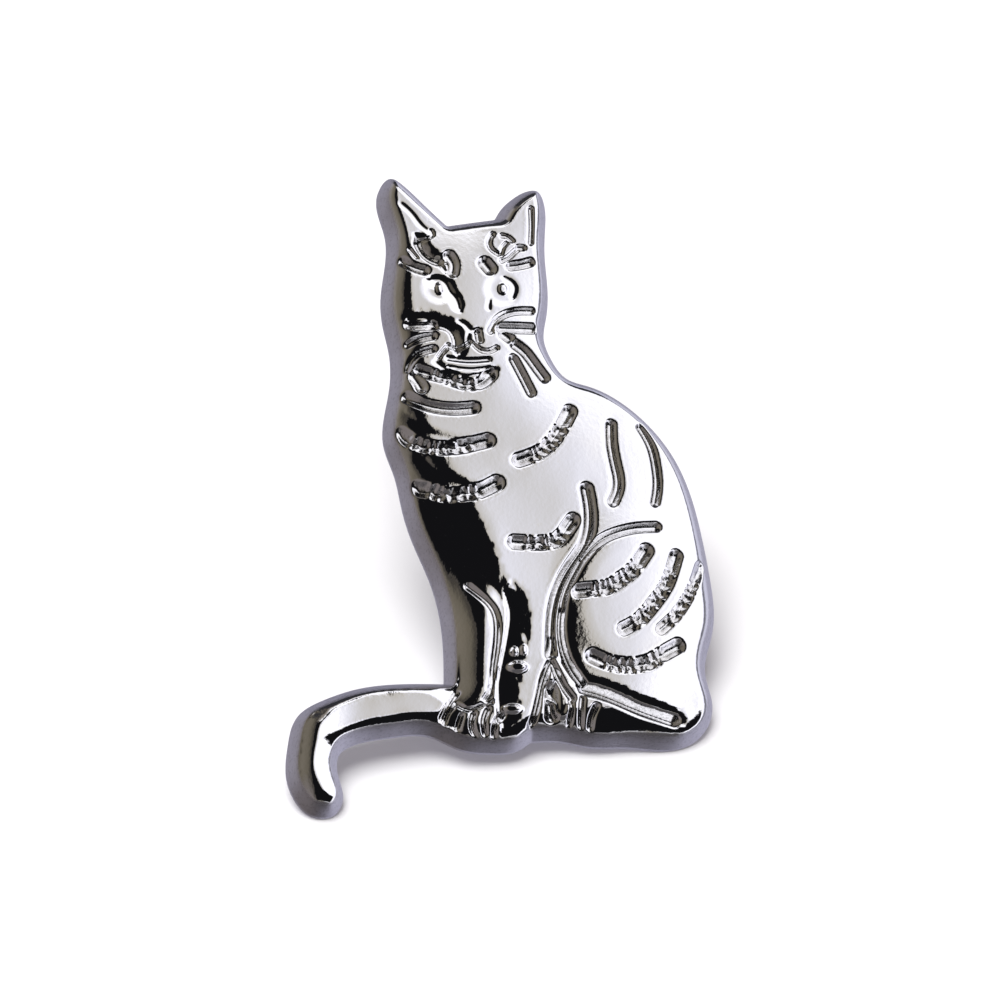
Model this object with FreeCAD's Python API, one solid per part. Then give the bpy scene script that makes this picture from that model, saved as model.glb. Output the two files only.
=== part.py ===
"""Cat lapel pin: a cast cat badge, its brazed post and spur, and a ball-locking clutch.

Millimetres. The pin stands as it is worn: +Z up, the cat's face towards -Y, the back face in
the plane Y = 0 and the post along +Y. The origin is the post's axis at the back face.
"""
import FreeCAD, Part
import math
import os

Vec = FreeCAD.Vector
BACKWARDS = Vec(0, 1, 0)

# ---- casting --------------------------------------------------------------------------------
LAND = 0.3              # straight edge of the casting at the back face
WALL = 1.3              # height of the drafted side wall above the back face
DRAFT = 0.5             # how far the wall leans in over its height
CROWN = 1.2             # height of the cushioned top above the wall
CROWN_STEP = 0.35       # how far each step of the cushion stands in from the one below
WALL_STEPS = 2
CROWN_STEPS = 3
STRIPE_WIDTH = 0.55     # width of a fur stripe
STRIPE_DEPTH = 0.45     # depth of a fur stripe below the crown
OVERCUT = 1.0           # how far a cutter runs past the metal it cuts

# ---- post and spur --------------------------------------------------------------------------
POST_R = 0.55
POST_LENGTH = 7.6       # from the back face to the tip
POST_TIP = 1.0          # length of the pointed end
POST_TIP_R = 0.12
POST_HEAD_R = 2.0
POST_HEAD_T = 0.4
BRAZE_GAP = 0.2         # radial room for braze around the head
HEAD_SINK = 0.05        # how far the head lies below the back face
GROOVE_DEPTH = 0.08
# Each V-shaped ring groove: from its start to the end of the straight shank, and its width.
RING_GROOVES = [(4.6, 0.6), (1.85, 0.3), (0.5, 0.3)]

SPUR_R = 0.5
SPUR_HEIGHT = 1.9
SPUR_CONE = 0.9
SPUR_TIP_R = 0.1
SPUR_ROOT = 0.6
SPUR_GAP = 0.02
SPUR_X = 1.5
SPUR_Z = -9.0

# ---- clutch ---------------------------------------------------------------------------------
CLUTCH_GAP = 2.2        # back face to the clutch's pressure face: the room for the cloth
FLANGE_R = 4.8
FLANGE_T = 0.7
HOUSING_R = 3.3
WALL_MIN = 0.7          # housing wall beside the closing washer
POST_HOLE_CLEAR = 0.2
TAPER_DEG = 12.0
TAPER_LENGTH = 1.8
SPRING_ROOM = 1.7       # length of the spring as fitted
WASHER_T = 0.4
WASHER_LEDGE = 0.3      # width of the step that the closing washer rests on
EDGE_ROUND = 0.25

BALL_R = 0.5
BALL_COUNT = 3
BALL_POST_CLEAR = 0.01
BALL_TAPER_CLEAR = 0.02
BALL_HOLE_CLEAR = 0.03
BALL_FROM_MOUTH = 0.8   # from the start of the taper to the balls' centres

CAGE_BORE_CLEAR = 0.1
CAGE_WALL = 0.3
CAGE_END_CLEAR = 0.1
CAGE_GUIDE_CLEAR = 0.1
COLLAR_R = 1.55
COLLAR_T = 0.2
COLLAR_FROM_TAPER = 0.1  # how far the collar stands in front of the back end of the taper

SPRING_WIRE_R = 0.09
SPRING_R = 1.32
SPRING_TURNS = 3
SPRING_STEPS = 18       # sections in one turn
SPRING_SIDES = 8        # sides of the wire's section
SPRING_SEAT = 0.02

KNOB_R = 3.8
KNOB_T = 1.45
KNOB_GAP = 0.1
KNOB_CAP = 0.4          # metal left over the end of the cage
TIP_ROOM = 0.2          # least room between the post's tip and the end of the cage
KNOB_ROUND = 0.45

# ---- outline of the cat, as smooth runs between its four sharp corners ----------------------
HEAD_TOP = [(-3.7, 12.2), (-2.5, 12.45), (-1.25, 12.7)]
RIGHT_SIDE = [
    (-1.25, 12.7), (-0.9, 13.3), (-0.3, 13.9), (0.45, 14.35), (0.95, 14.38), (1.25, 13.9),
    (1.35, 12.2), (1.33, 10.9), (1.47, 9.2), (1.4, 7.6), (1.27, 6.5), (1.65, 5.4),
    (2.45, 4.42), (3.5, 4.1), (5.1, 3.4), (6.75, 2.05), (7.9, 0.55), (8.7, -1.2),
    (9.3, -3.5), (9.75, -6.0), (9.8, -8.5), (9.4, -10.6), (9.75, -12.2), (9.3, -13.7),
    (8.0, -14.55), (5.5, -14.6), (3.5, -14.65), (2.1, -14.45), (0.6, -14.52),
]
PAWS_AND_TAIL = [
    (0.6, -14.52), (-0.1, -15.0), (-1.5, -15.2), (-2.9, -15.08), (-4.5, -14.47),
    (-6.4, -14.6), (-8.1, -15.0), (-8.95, -15.6), (-9.0, -16.7), (-8.76, -17.9),
    (-9.2, -18.65), (-10.2, -18.75), (-11.1, -18.0), (-11.55, -16.8), (-11.48, -15.2),
    (-11.1, -13.85), (-9.8, -12.9), (-8.0, -12.22), (-6.0, -11.9), (-3.75, -11.8),
]
LEFT_SIDE = [
    (-3.75, -11.8), (-3.77, -10.3), (-4.0, -8.2), (-4.45, -6.6), (-5.4, -4.4),
    (-5.9, -2.8), (-6.3, -1.1), (-6.85, 0.5), (-6.85, 1.7), (-6.57, 3.4), (-6.58, 5.2),
    (-6.95, 6.9), (-7.02, 8.4), (-6.8, 10.2), (-6.85, 11.5), (-7.28, 13.1),
    (-7.1, 14.1), (-6.6, 14.58), (-6.0, 14.3), (-4.9, 13.3), (-3.7, 12.2),
]

OUTLINE_RUNS = (HEAD_TOP, RIGHT_SIDE, PAWS_AND_TAIL, LEFT_SIDE)

# ---- fur stripes, each a chain of points -----------------------------------------------------
STRIPES = [
    [(-4.6, 5.0), (-2.6, 4.2), (-1.4, 4.7)],
    [(-5.2, 3.6), (-3.4, 2.9), (-1.9, 2.9)],
    [(-5.4, 1.6), (-3.7, 0.9), (-1.4, 1.2)],
    [(-4.6, -1.2), (-2.9, -1.5), (-1.0, -1.1)],
    [(0.1, 0.2), (1.7, 1.1), (2.7, 2.8)],
    [(4.6, 2.3), (5.0, 0.0), (4.8, -2.1)],
    [(6.3, 2.0), (7.0, 0.0), (7.0, -2.0)],
    [(-0.1, -3.9), (1.3, -4.1), (2.8, -2.9)],
    [(3.3, -1.2), (3.7, -3.0), (3.0, -4.6), (2.0, -6.4), (1.5, -8.4), (2.1, -10.6)],
    [(7.1, -3.1), (5.2, -3.4), (3.6, -4.4)],
    [(3.2, -6.4), (4.9, -6.2), (6.5, -4.5)],
    [(5.2, -8.5), (6.9, -7.0), (8.0, -4.7)],
    [(7.1, -8.6), (8.3, -7.2), (9.0, -5.4)],
    [(3.7, -9.9), (5.6, -10.3), (8.1, -9.4)],
    [(3.1, -11.4), (5.4, -12.3), (8.2, -13.0)],
    [(-2.4, -6.2), (-1.2, -7.6), (-1.4, -11.8)],
]

# ---- places worked out from the sizes above --------------------------------------------------
RECESS_R = POST_HEAD_R + BRAZE_GAP
RECESS_DEPTH = HEAD_SINK + POST_HEAD_T
CASTING_TOP = WALL + CROWN

FLANGE_BACK = CLUTCH_GAP + FLANGE_T
BALL_CENTRE_R = POST_R + BALL_POST_CLEAR + BALL_R
BALL_Y = FLANGE_BACK + BALL_FROM_MOUTH
TAPER_BACK = FLANGE_BACK + TAPER_LENGTH
COLLAR_BACK = TAPER_BACK - COLLAR_FROM_TAPER
WASHER_FRONT = COLLAR_BACK + SPRING_ROOM
HOUSING_BACK = WASHER_FRONT + WASHER_T
WASHER_R = HOUSING_R - WALL_MIN
CHAMBER_R = WASHER_R - WASHER_LEDGE

CAGE_BORE_R = POST_R + CAGE_BORE_CLEAR
CAGE_R = CAGE_BORE_R + CAGE_WALL
CAGE_FRONT = FLANGE_BACK + CAGE_END_CLEAR
KNOB_FRONT = HOUSING_BACK + KNOB_GAP
KNOB_BACK = max(KNOB_FRONT + KNOB_T, POST_LENGTH + TIP_ROOM + KNOB_CAP)
CAGE_BACK = KNOB_BACK - KNOB_CAP


def taper_radius(y):
    """Radius of the housing's inner cone at a depth y."""
    slope = math.radians(TAPER_DEG)
    at_ball = BALL_CENTRE_R + (BALL_R + BALL_TAPER_CLEAR) / math.cos(slope)
    return at_ball + (y - BALL_Y) * math.tan(slope)


def turned(profile):
    """A solid turned about the post's axis from its (radius, depth) half section."""
    points = [Vec(r, y, 0) for r, y in profile]
    face = Part.Face(Part.makePolygon(points + points[:1]))
    return face.revolve(Vec(0, 0, 0), BACKWARDS, 360)


def rod(radius, front, back, x=0.0, z=0.0):
    """A plain cylinder along +Y between two depths."""
    return Part.makeCylinder(radius, back - front, Vec(x, front, z), BACKWARDS)


def cone(front_radius, back_radius, front, back, x=0.0, z=0.0):
    """A plain cone along +Y between two depths."""
    length = back - front
    return Part.makeCone(front_radius, back_radius, length, Vec(x, front, z), BACKWARDS)


def circle_edges(shape, radius, y):
    """The round edges of a shape that have this radius and lie at this depth."""
    found = []
    for edge in shape.Edges:
        curve = edge.Curve
        if isinstance(curve, Part.Circle):
            same_size = abs(curve.Radius - radius) < 1e-6
            same_place = abs(curve.Center.y - y) < 1e-6
            if same_size and same_place:
                found.append(edge)
    return found


def smooth_run(points):
    """One smooth curve through a run of outline points in the back plane."""
    curve = Part.BSplineCurve()
    curve.interpolate([Vec(x, 0, z) for x, z in points])
    return curve.toShape()


def smooth_face():
    """The flat back face of the cat, with its true curved edge."""
    return Part.Face(Part.Wire([smooth_run(run) for run in OUTLINE_RUNS]))


def faceted_face():
    """The same outline with straight sides, which can be set in by any distance."""
    points = [Vec(x, 0, z) for run in OUTLINE_RUNS for x, z in run[:-1]]
    return Part.Face(Part.makePolygon(points + points[:1]))


def raised(face, height):
    """A flat outline in the back plane, extruded forwards to a height."""
    return face.extrude(Vec(0, -height, 0))


def stripe_cutter(chain):
    """Round-ended slot along a chain of points, open towards the front."""
    floor_y = -(CASTING_TOP - STRIPE_DEPTH)
    height = 2 * CROWN
    radius = STRIPE_WIDTH / 2
    pieces = []
    for (x0, z0), (x1, z1) in zip(chain, chain[1:]):
        length = math.hypot(x1 - x0, z1 - z0)
        bar = Part.makeBox(length, height, STRIPE_WIDTH, Vec(0, 0, -radius))
        turn = -math.degrees(math.atan2(z1 - z0, x1 - x0))
        bar.rotate(Vec(0, 0, 0), BACKWARDS, turn)
        bar.translate(Vec(x0, floor_y - height, z0))
        pieces.append(bar)
    for x, z in chain:
        pieces.append(rod(radius, floor_y - height, floor_y, x, z))
    return pieces[0].multiFuse(pieces[1:])


def cat_casting():
    """The cast cat: land, drafted wall, stepped cushion, fur stripes and two recesses."""
    solid = raised(smooth_face(), LAND)
    outline = faceted_face()
    for step in range(1, WALL_STEPS + 1):
        share = step / WALL_STEPS
        level = outline.makeOffset2D(-DRAFT * share)
        solid = solid.fuse(raised(level, LAND + (WALL - LAND) * share))
    for step in range(1, CROWN_STEPS + 1):
        share = math.sqrt(step / CROWN_STEPS)
        level = outline.makeOffset2D(-DRAFT - CROWN_STEP * step)
        solid = solid.fuse(raised(level, WALL + CROWN * share))
    solid = solid.cut([stripe_cutter(chain) for chain in STRIPES])
    solid = solid.cut(rod(RECESS_R, -RECESS_DEPTH, OVERCUT))
    solid = solid.cut(rod(SPUR_R + SPUR_GAP, -SPUR_ROOT, OVERCUT, SPUR_X, SPUR_Z))
    return solid.removeSplitter()


def post():
    """Nail-headed post with ring grooves and a pointed end."""
    profile = [
        (0, -RECESS_DEPTH),
        (POST_HEAD_R, -RECESS_DEPTH),
        (POST_HEAD_R, -HEAD_SINK),
        (POST_R, -HEAD_SINK),
    ]
    shank_end = POST_LENGTH - POST_TIP
    for from_end, width in RING_GROOVES:
        start = shank_end - from_end
        profile.append((POST_R, start))
        profile.append((POST_R - GROOVE_DEPTH, start + width / 2))
        profile.append((POST_R, start + width))
    profile.append((POST_R, shank_end))
    profile.append((POST_TIP_R, POST_LENGTH))
    profile.append((0, POST_LENGTH))
    return turned(profile)


def braze_ring():
    """Braze that fills the gap between the post's head and its recess."""
    outer = rod(RECESS_R, -RECESS_DEPTH, -HEAD_SINK)
    return outer.cut(rod(POST_HEAD_R, -RECESS_DEPTH - OVERCUT, OVERCUT))


def anti_turn_spur():
    """Short pointed spur that bites the cloth and stops the pin from turning."""
    straight = rod(SPUR_R, -SPUR_ROOT, SPUR_HEIGHT - SPUR_CONE, SPUR_X, SPUR_Z)
    point = cone(SPUR_R, SPUR_TIP_R, SPUR_HEIGHT - SPUR_CONE, SPUR_HEIGHT, SPUR_X, SPUR_Z)
    return straight.fuse(point).removeSplitter()


def clutch_housing():
    """Turned housing: pressure flange, post hole, inner taper, spring chamber and seat."""
    hole = POST_R + POST_HOLE_CLEAR
    solid = turned([
        (hole, CLUTCH_GAP),
        (FLANGE_R, CLUTCH_GAP),
        (FLANGE_R, FLANGE_BACK),
        (HOUSING_R, FLANGE_BACK),
        (HOUSING_R, HOUSING_BACK),
        (WASHER_R, HOUSING_BACK),
        (WASHER_R, WASHER_FRONT),
        (CHAMBER_R, WASHER_FRONT),
        (CHAMBER_R, TAPER_BACK),
        (taper_radius(TAPER_BACK), TAPER_BACK),
        (taper_radius(FLANGE_BACK), FLANGE_BACK),
        (hole, FLANGE_BACK),
    ])
    rims = circle_edges(solid, FLANGE_R, CLUTCH_GAP) + circle_edges(solid, FLANGE_R, FLANGE_BACK)
    return solid.makeFillet(EDGE_ROUND, rims)


def closing_washer():
    """Washer pressed into the back of the housing; it guides the cage and backs the spring."""
    hole = CAGE_R + CAGE_GUIDE_CLEAR
    return rod(WASHER_R, WASHER_FRONT, HOUSING_BACK).cut(rod(hole, 0, HOUSING_BACK + OVERCUT))


def ball_angles():
    """Where the balls sit around the post, the first one straight up."""
    return [math.radians(90 + 360 * index / BALL_COUNT) for index in range(BALL_COUNT)]


def ball_cage():
    """Tube that carries the balls, with the spring's collar on it."""
    tube = rod(CAGE_R, CAGE_FRONT, CAGE_BACK)
    solid = tube.fuse(rod(COLLAR_R, COLLAR_BACK - COLLAR_T, COLLAR_BACK))
    solid = solid.cut(rod(CAGE_BORE_R, 0, CAGE_BACK + OVERCUT))
    for angle in ball_angles():
        outwards = Vec(math.cos(angle), 0, math.sin(angle))
        start = Vec(0, BALL_Y, 0)
        solid = solid.cut(Part.makeCylinder(BALL_R + BALL_HOLE_CLEAR, COLLAR_R, start, outwards))
    return solid


def lock_ball(angle):
    """One locking ball, touching the post and the taper but for their clearances."""
    centre = Vec(math.cos(angle), 0, math.sin(angle)) * BALL_CENTRE_R
    return Part.makeSphere(BALL_R, centre + Vec(0, BALL_Y, 0))


def triangle(a, b, c):
    """A flat three-sided face."""
    return Part.Face(Part.makePolygon([a, b, c, a]))


def spring_section(step, front, rise):
    """The wire's many-sided section at one step along the coil."""
    turn = 2 * math.pi * step / SPRING_STEPS
    outwards = Vec(math.cos(turn), 0, math.sin(turn))
    centre = outwards * SPRING_R + Vec(0, front + rise * step, 0)
    section = []
    for side in range(SPRING_SIDES):
        angle = 2 * math.pi * side / SPRING_SIDES
        across = outwards * math.cos(angle) + BACKWARDS * math.sin(angle)
        section.append(centre + across * SPRING_WIRE_R)
    return section


def clutch_spring():
    """Coil spring between the cage's collar and the closing washer, with a faceted wire."""
    front = COLLAR_BACK + SPRING_SEAT + SPRING_WIRE_R
    back = WASHER_FRONT - SPRING_SEAT - SPRING_WIRE_R
    steps = SPRING_TURNS * SPRING_STEPS
    rings = [spring_section(step, front, (back - front) / steps) for step in range(steps + 1)]
    faces = []
    for ring, following in zip(rings, rings[1:]):
        for side in range(SPRING_SIDES):
            beside = (side + 1) % SPRING_SIDES
            faces.append(triangle(ring[side], following[side], following[beside]))
            faces.append(triangle(ring[side], following[beside], ring[beside]))
    for end in (rings[0], rings[-1]):
        faces.append(Part.Face(Part.makePolygon(end + end[:1])))
    solid = Part.Solid(Part.Shell(faces))
    return solid if solid.Volume > 0 else solid.reversed()


def clutch_knob():
    """Round pull knob with a blind bore for the end of the cage."""
    solid = rod(KNOB_R, KNOB_FRONT, KNOB_BACK).cut(rod(CAGE_R, 0, CAGE_BACK))
    rims = circle_edges(solid, KNOB_R, KNOB_FRONT) + circle_edges(solid, KNOB_R, KNOB_BACK)
    return solid.makeFillet(KNOB_ROUND, rims)


def build():
    """Every piece of the pin by its name."""
    parts = {
        "cat_casting": cat_casting(),
        "post": post(),
        "braze_ring": braze_ring(),
        "anti_turn_spur": anti_turn_spur(),
        "clutch_housing": clutch_housing(),
        "closing_washer": closing_washer(),
        "ball_cage": ball_cage(),
        "clutch_spring": clutch_spring(),
        "clutch_knob": clutch_knob(),
    }
    for index, angle in enumerate(ball_angles()):
        parts["lock_ball_%d" % (index + 1)] = lock_ball(angle)
    return parts


os.makedirs("parts", exist_ok=True)
for name, shape in build().items():
    shape.exportStep("parts/%s.step" % name)
    box = shape.BoundBox
    size = (box.XLength, box.YLength, box.ZLength)
    print("%-16s solids %d valid %s volume %9.3f size %6.2f %6.2f %6.2f"
          % ((name, len(shape.Solids), shape.isValid(), shape.Volume) + size))
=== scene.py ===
"""Cat lapel pin: the visible model around its packed metal parts.

Lengths are in millimetres until a mesh is made, where they become metres. +Z is up, the
cat's face looks towards -Y, the back face lies in the plane Y = 0 and the post runs along +Y.
"""
import logging
import math
from dataclasses import dataclass, field
from enum import Enum

import bpy
import numpy as np
from mathutils import Matrix, Vector
from mathutils.geometry import tessellate_polygon


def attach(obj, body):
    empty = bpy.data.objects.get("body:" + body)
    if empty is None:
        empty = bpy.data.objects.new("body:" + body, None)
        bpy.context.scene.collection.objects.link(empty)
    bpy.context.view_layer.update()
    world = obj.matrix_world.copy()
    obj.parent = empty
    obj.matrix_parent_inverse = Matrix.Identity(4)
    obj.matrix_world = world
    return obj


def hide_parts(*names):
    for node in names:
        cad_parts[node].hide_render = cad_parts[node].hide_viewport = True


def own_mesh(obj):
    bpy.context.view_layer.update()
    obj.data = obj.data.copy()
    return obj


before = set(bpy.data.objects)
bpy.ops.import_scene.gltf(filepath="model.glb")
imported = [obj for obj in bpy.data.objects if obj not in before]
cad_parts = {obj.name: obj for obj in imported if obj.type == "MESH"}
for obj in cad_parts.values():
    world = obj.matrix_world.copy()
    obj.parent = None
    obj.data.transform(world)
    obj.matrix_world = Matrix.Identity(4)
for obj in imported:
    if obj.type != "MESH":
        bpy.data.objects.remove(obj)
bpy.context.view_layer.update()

log = logging.getLogger("lapel_pin")

MM = 0.001
Point = tuple[float, float]
Colour = tuple[float, float, float]

# ---- outline of the cat, as smooth runs between its four sharp corners, in mm ----------------
HEAD_TOP = ((-3.7, 12.2), (-2.5, 12.45), (-1.25, 12.7))
RIGHT_SIDE = (
    (-1.25, 12.7), (-0.9, 13.3), (-0.3, 13.9), (0.45, 14.35), (0.95, 14.38), (1.25, 13.9),
    (1.35, 12.2), (1.33, 10.9), (1.47, 9.2), (1.4, 7.6), (1.27, 6.5), (1.65, 5.4),
    (2.45, 4.42), (3.5, 4.1), (5.1, 3.4), (6.75, 2.05), (7.9, 0.55), (8.7, -1.2),
    (9.3, -3.5), (9.75, -6.0), (9.8, -8.5), (9.4, -10.6), (9.75, -12.2), (9.3, -13.7),
    (8.0, -14.55), (5.5, -14.6), (3.5, -14.65), (2.1, -14.45), (0.6, -14.52),
)
PAWS_AND_TAIL = (
    (0.6, -14.52), (-0.1, -15.0), (-1.5, -15.2), (-2.9, -15.08), (-4.5, -14.47),
    (-6.4, -14.6), (-8.1, -15.0), (-8.95, -15.6), (-9.0, -16.7), (-8.76, -17.9),
    (-9.2, -18.65), (-10.2, -18.75), (-11.1, -18.0), (-11.55, -16.8), (-11.48, -15.2),
    (-11.1, -13.85), (-9.8, -12.9), (-8.0, -12.22), (-6.0, -11.9), (-3.75, -11.8),
)
LEFT_SIDE = (
    (-3.75, -11.8), (-3.77, -10.3), (-4.0, -8.2), (-4.45, -6.6), (-5.4, -4.4),
    (-5.9, -2.8), (-6.3, -1.1), (-6.85, 0.5), (-6.85, 1.7), (-6.57, 3.4), (-6.58, 5.2),
    (-6.95, 6.9), (-7.02, 8.4), (-6.8, 10.2), (-6.85, 11.5), (-7.28, 13.1),
    (-7.1, 14.1), (-6.6, 14.58), (-6.0, 14.3), (-4.9, 13.3), (-3.7, 12.2),
)
OUTLINE_RUNS = (HEAD_TOP, RIGHT_SIDE, PAWS_AND_TAIL, LEFT_SIDE)


class Cut(Enum):
    """How the bottom of a cut in the casting is shaped."""

    GROOVE = "groove"
    HOLLOW = "hollow"
    BEADED = "beaded"


@dataclass(frozen=True)
class Stroke:
    """One cut along a smooth line: its name, kind, width, depth and points, in mm."""

    name: str
    cut: Cut
    width: float
    depth: float
    points: tuple[Point, ...]


@dataclass(frozen=True)
class Mound:
    """One raised oval: place, half widths, height and how wide its edge is, in mm."""

    name: str
    x: float
    z: float
    half_x: float
    half_z: float
    height: float
    edge: float


@dataclass(frozen=True)
class Ridge:
    """One raised round bar along a smooth line, in mm."""

    name: str
    width: float
    height: float
    points: tuple[Point, ...]


@dataclass(frozen=True)
class Fold:
    """A slope that falls to a line from the right-hand side of its line of travel, in mm.

    back is how far the surface takes to come up again on the left-hand side.
    """

    name: str
    width: float
    depth: float
    points: tuple[Point, ...]
    back: float = 0.22


@dataclass(frozen=True)
class RimRoll:
    """How the cushioned top rolls down to the side wall near one place.

    width is how far the roll reaches in from the wall and slope is how steep it starts. A
    small power keeps the roll steep for longer; spread is how far round the place it counts.
    """

    x: float
    z: float
    width: float
    slope: float
    power: float = 1.5
    spread: float = 1.2


RIM_ROLLS = (
    RimRoll(-6.6, 13.2, 0.30, 0.95, 0.4, 0.8),
    RimRoll(-6.3, 11.3, 0.32, 0.95, 0.4, 0.8),
    RimRoll(-4.2, 12.2, 0.20, 1.10, 0.6, 0.8),
    RimRoll(-2.4, 12.0, 0.20, 1.10, 0.6, 0.8),
    RimRoll(-0.5, 12.6, 0.30, 0.95, 0.5, 0.7),
    RimRoll(0.6, 13.8, 0.20, 0.90, 0.5, 0.7),
    RimRoll(0.8, 11.4, 0.25, 0.95, 0.5),
    RimRoll(0.8, 8.6, 0.30, 0.95, 0.5),
    RimRoll(0.7, 6.6, 0.30, 0.95, 0.5),
    RimRoll(-6.1, 9.8, 0.55, 0.95, 0.5, 0.8),
    RimRoll(-6.1, 8.2, 0.90, 0.95, 1.2),
    RimRoll(-6.0, 6.8, 1.05, 0.95),
    RimRoll(-5.8, 5.0, 1.00, 0.95),
    RimRoll(-5.9, 3.0, 1.10, 0.95),
    RimRoll(-5.6, 1.0, 1.70, 0.80),
    RimRoll(-5.2, -0.4, 2.20, 0.72),
    RimRoll(-4.6, -2.2, 2.80, 0.68),
    RimRoll(-4.0, -3.8, 3.50, 0.66),
    RimRoll(-3.4, -5.6, 3.60, 0.68),
    RimRoll(-3.0, -7.2, 2.20, 0.80, 1.0),
    RimRoll(-2.9, -8.8, 1.30, 0.90, 0.5),
    RimRoll(-2.9, -10.2, 1.25, 0.90, 0.5),
    RimRoll(-2.9, -11.6, 1.20, 0.90, 0.6),
    RimRoll(-1.6, -14.2, 0.70, 0.80, 0.6, 0.8),
    RimRoll(-5.0, -12.3, 0.08, 0.35, 0.5, 0.7),
    RimRoll(-7.5, -12.7, 0.08, 0.35, 0.5, 0.7),
    RimRoll(-9.0, -13.1, 0.30, 0.60, 0.5, 0.7),
    RimRoll(-10.6, -14.2, 0.75, 0.90, 0.35, 0.7),
    RimRoll(-11.0, -15.8, 0.75, 0.90, 0.35, 0.7),
    RimRoll(-10.6, -17.6, 0.90, 0.85, 0.6, 0.7),
    RimRoll(-9.9, -18.2, 0.60, 0.60, 0.5, 0.6),
    RimRoll(-9.3, -16.6, 0.20, 0.50, 0.5, 0.6),
    RimRoll(-8.6, -14.9, 0.30, 0.40, 0.5, 0.6),
    RimRoll(-7.2, -14.2, 0.45, 0.62, 0.5, 0.7),
    RimRoll(-5.2, -14.0, 0.50, 0.62, 0.5, 0.7),
    RimRoll(2.2, 4.0, 0.26, 1.10, 0.6),
    RimRoll(4.2, 3.2, 0.30, 1.10, 0.6),
    RimRoll(6.0, 1.9, 0.26, 1.10, 0.6),
    RimRoll(7.6, -0.4, 0.30, 1.15, 0.5),
    RimRoll(8.7, -3.5, 0.32, 1.15, 0.5),
    RimRoll(9.1, -6.5, 0.45, 1.10, 0.6),
    RimRoll(8.9, -9.5, 0.30, 1.05, 0.5),
    RimRoll(8.8, -12.0, 0.36, 0.95, 0.5),
    RimRoll(8.6, -13.6, 0.45, 0.14, 0.8, 0.6),
    RimRoll(7.3, -13.7, 0.50, 0.60, 0.6, 0.6),
    RimRoll(5.8, -13.8, 1.10, 0.65, 0.6, 0.9),
    RimRoll(4.0, -13.8, 1.50, 0.62, 0.6, 0.9),
    RimRoll(2.2, -13.6, 0.90, 0.65, 0.6, 0.8),
    RimRoll(0.6, -13.6, 0.50, 0.70, 0.6, 0.8),
)

MOUNDS = (
    Mound("left_eye", -4.32, 8.39, 0.72, 0.72, -0.04, 0.55),
    Mound("left_pupil", -4.28, 8.40, 0.16, 0.30, 0.10, 0.14),
    Mound("right_eye", -1.10, 8.52, 0.78, 0.78, -0.04, 0.55),
    Mound("right_pupil", -1.06, 8.55, 0.20, 0.26, 0.10, 0.14),
    Mound("haunch", 5.6, -7.6, 3.4, 4.2, 0.16, 2.4),
    Mound("leg_bead_upper", -0.52, -10.37, 0.15, 0.20, 0.16, 0.16),
    Mound("leg_bead_side", -0.07, -10.29, 0.14, 0.24, 0.12, 0.14),
    Mound("leg_bead_lower", -0.35, -11.15, 0.42, 0.24, 0.20, 0.20),
    Mound("leg_bead_foot", -0.60, -13.25, 0.42, 0.20, 0.18, 0.18),
    Mound("wedge_bead", 1.30, -11.75, 0.16, 0.50, 0.14, 0.14),
)

RIDGES = (
    Ridge("wedge_curl", 0.22, 0.16, (
        (1.25, -12.68), (1.5, -12.85), (1.64, -13.38), (1.99, -13.5), (2.25, -13.0),
    )),
)

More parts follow.
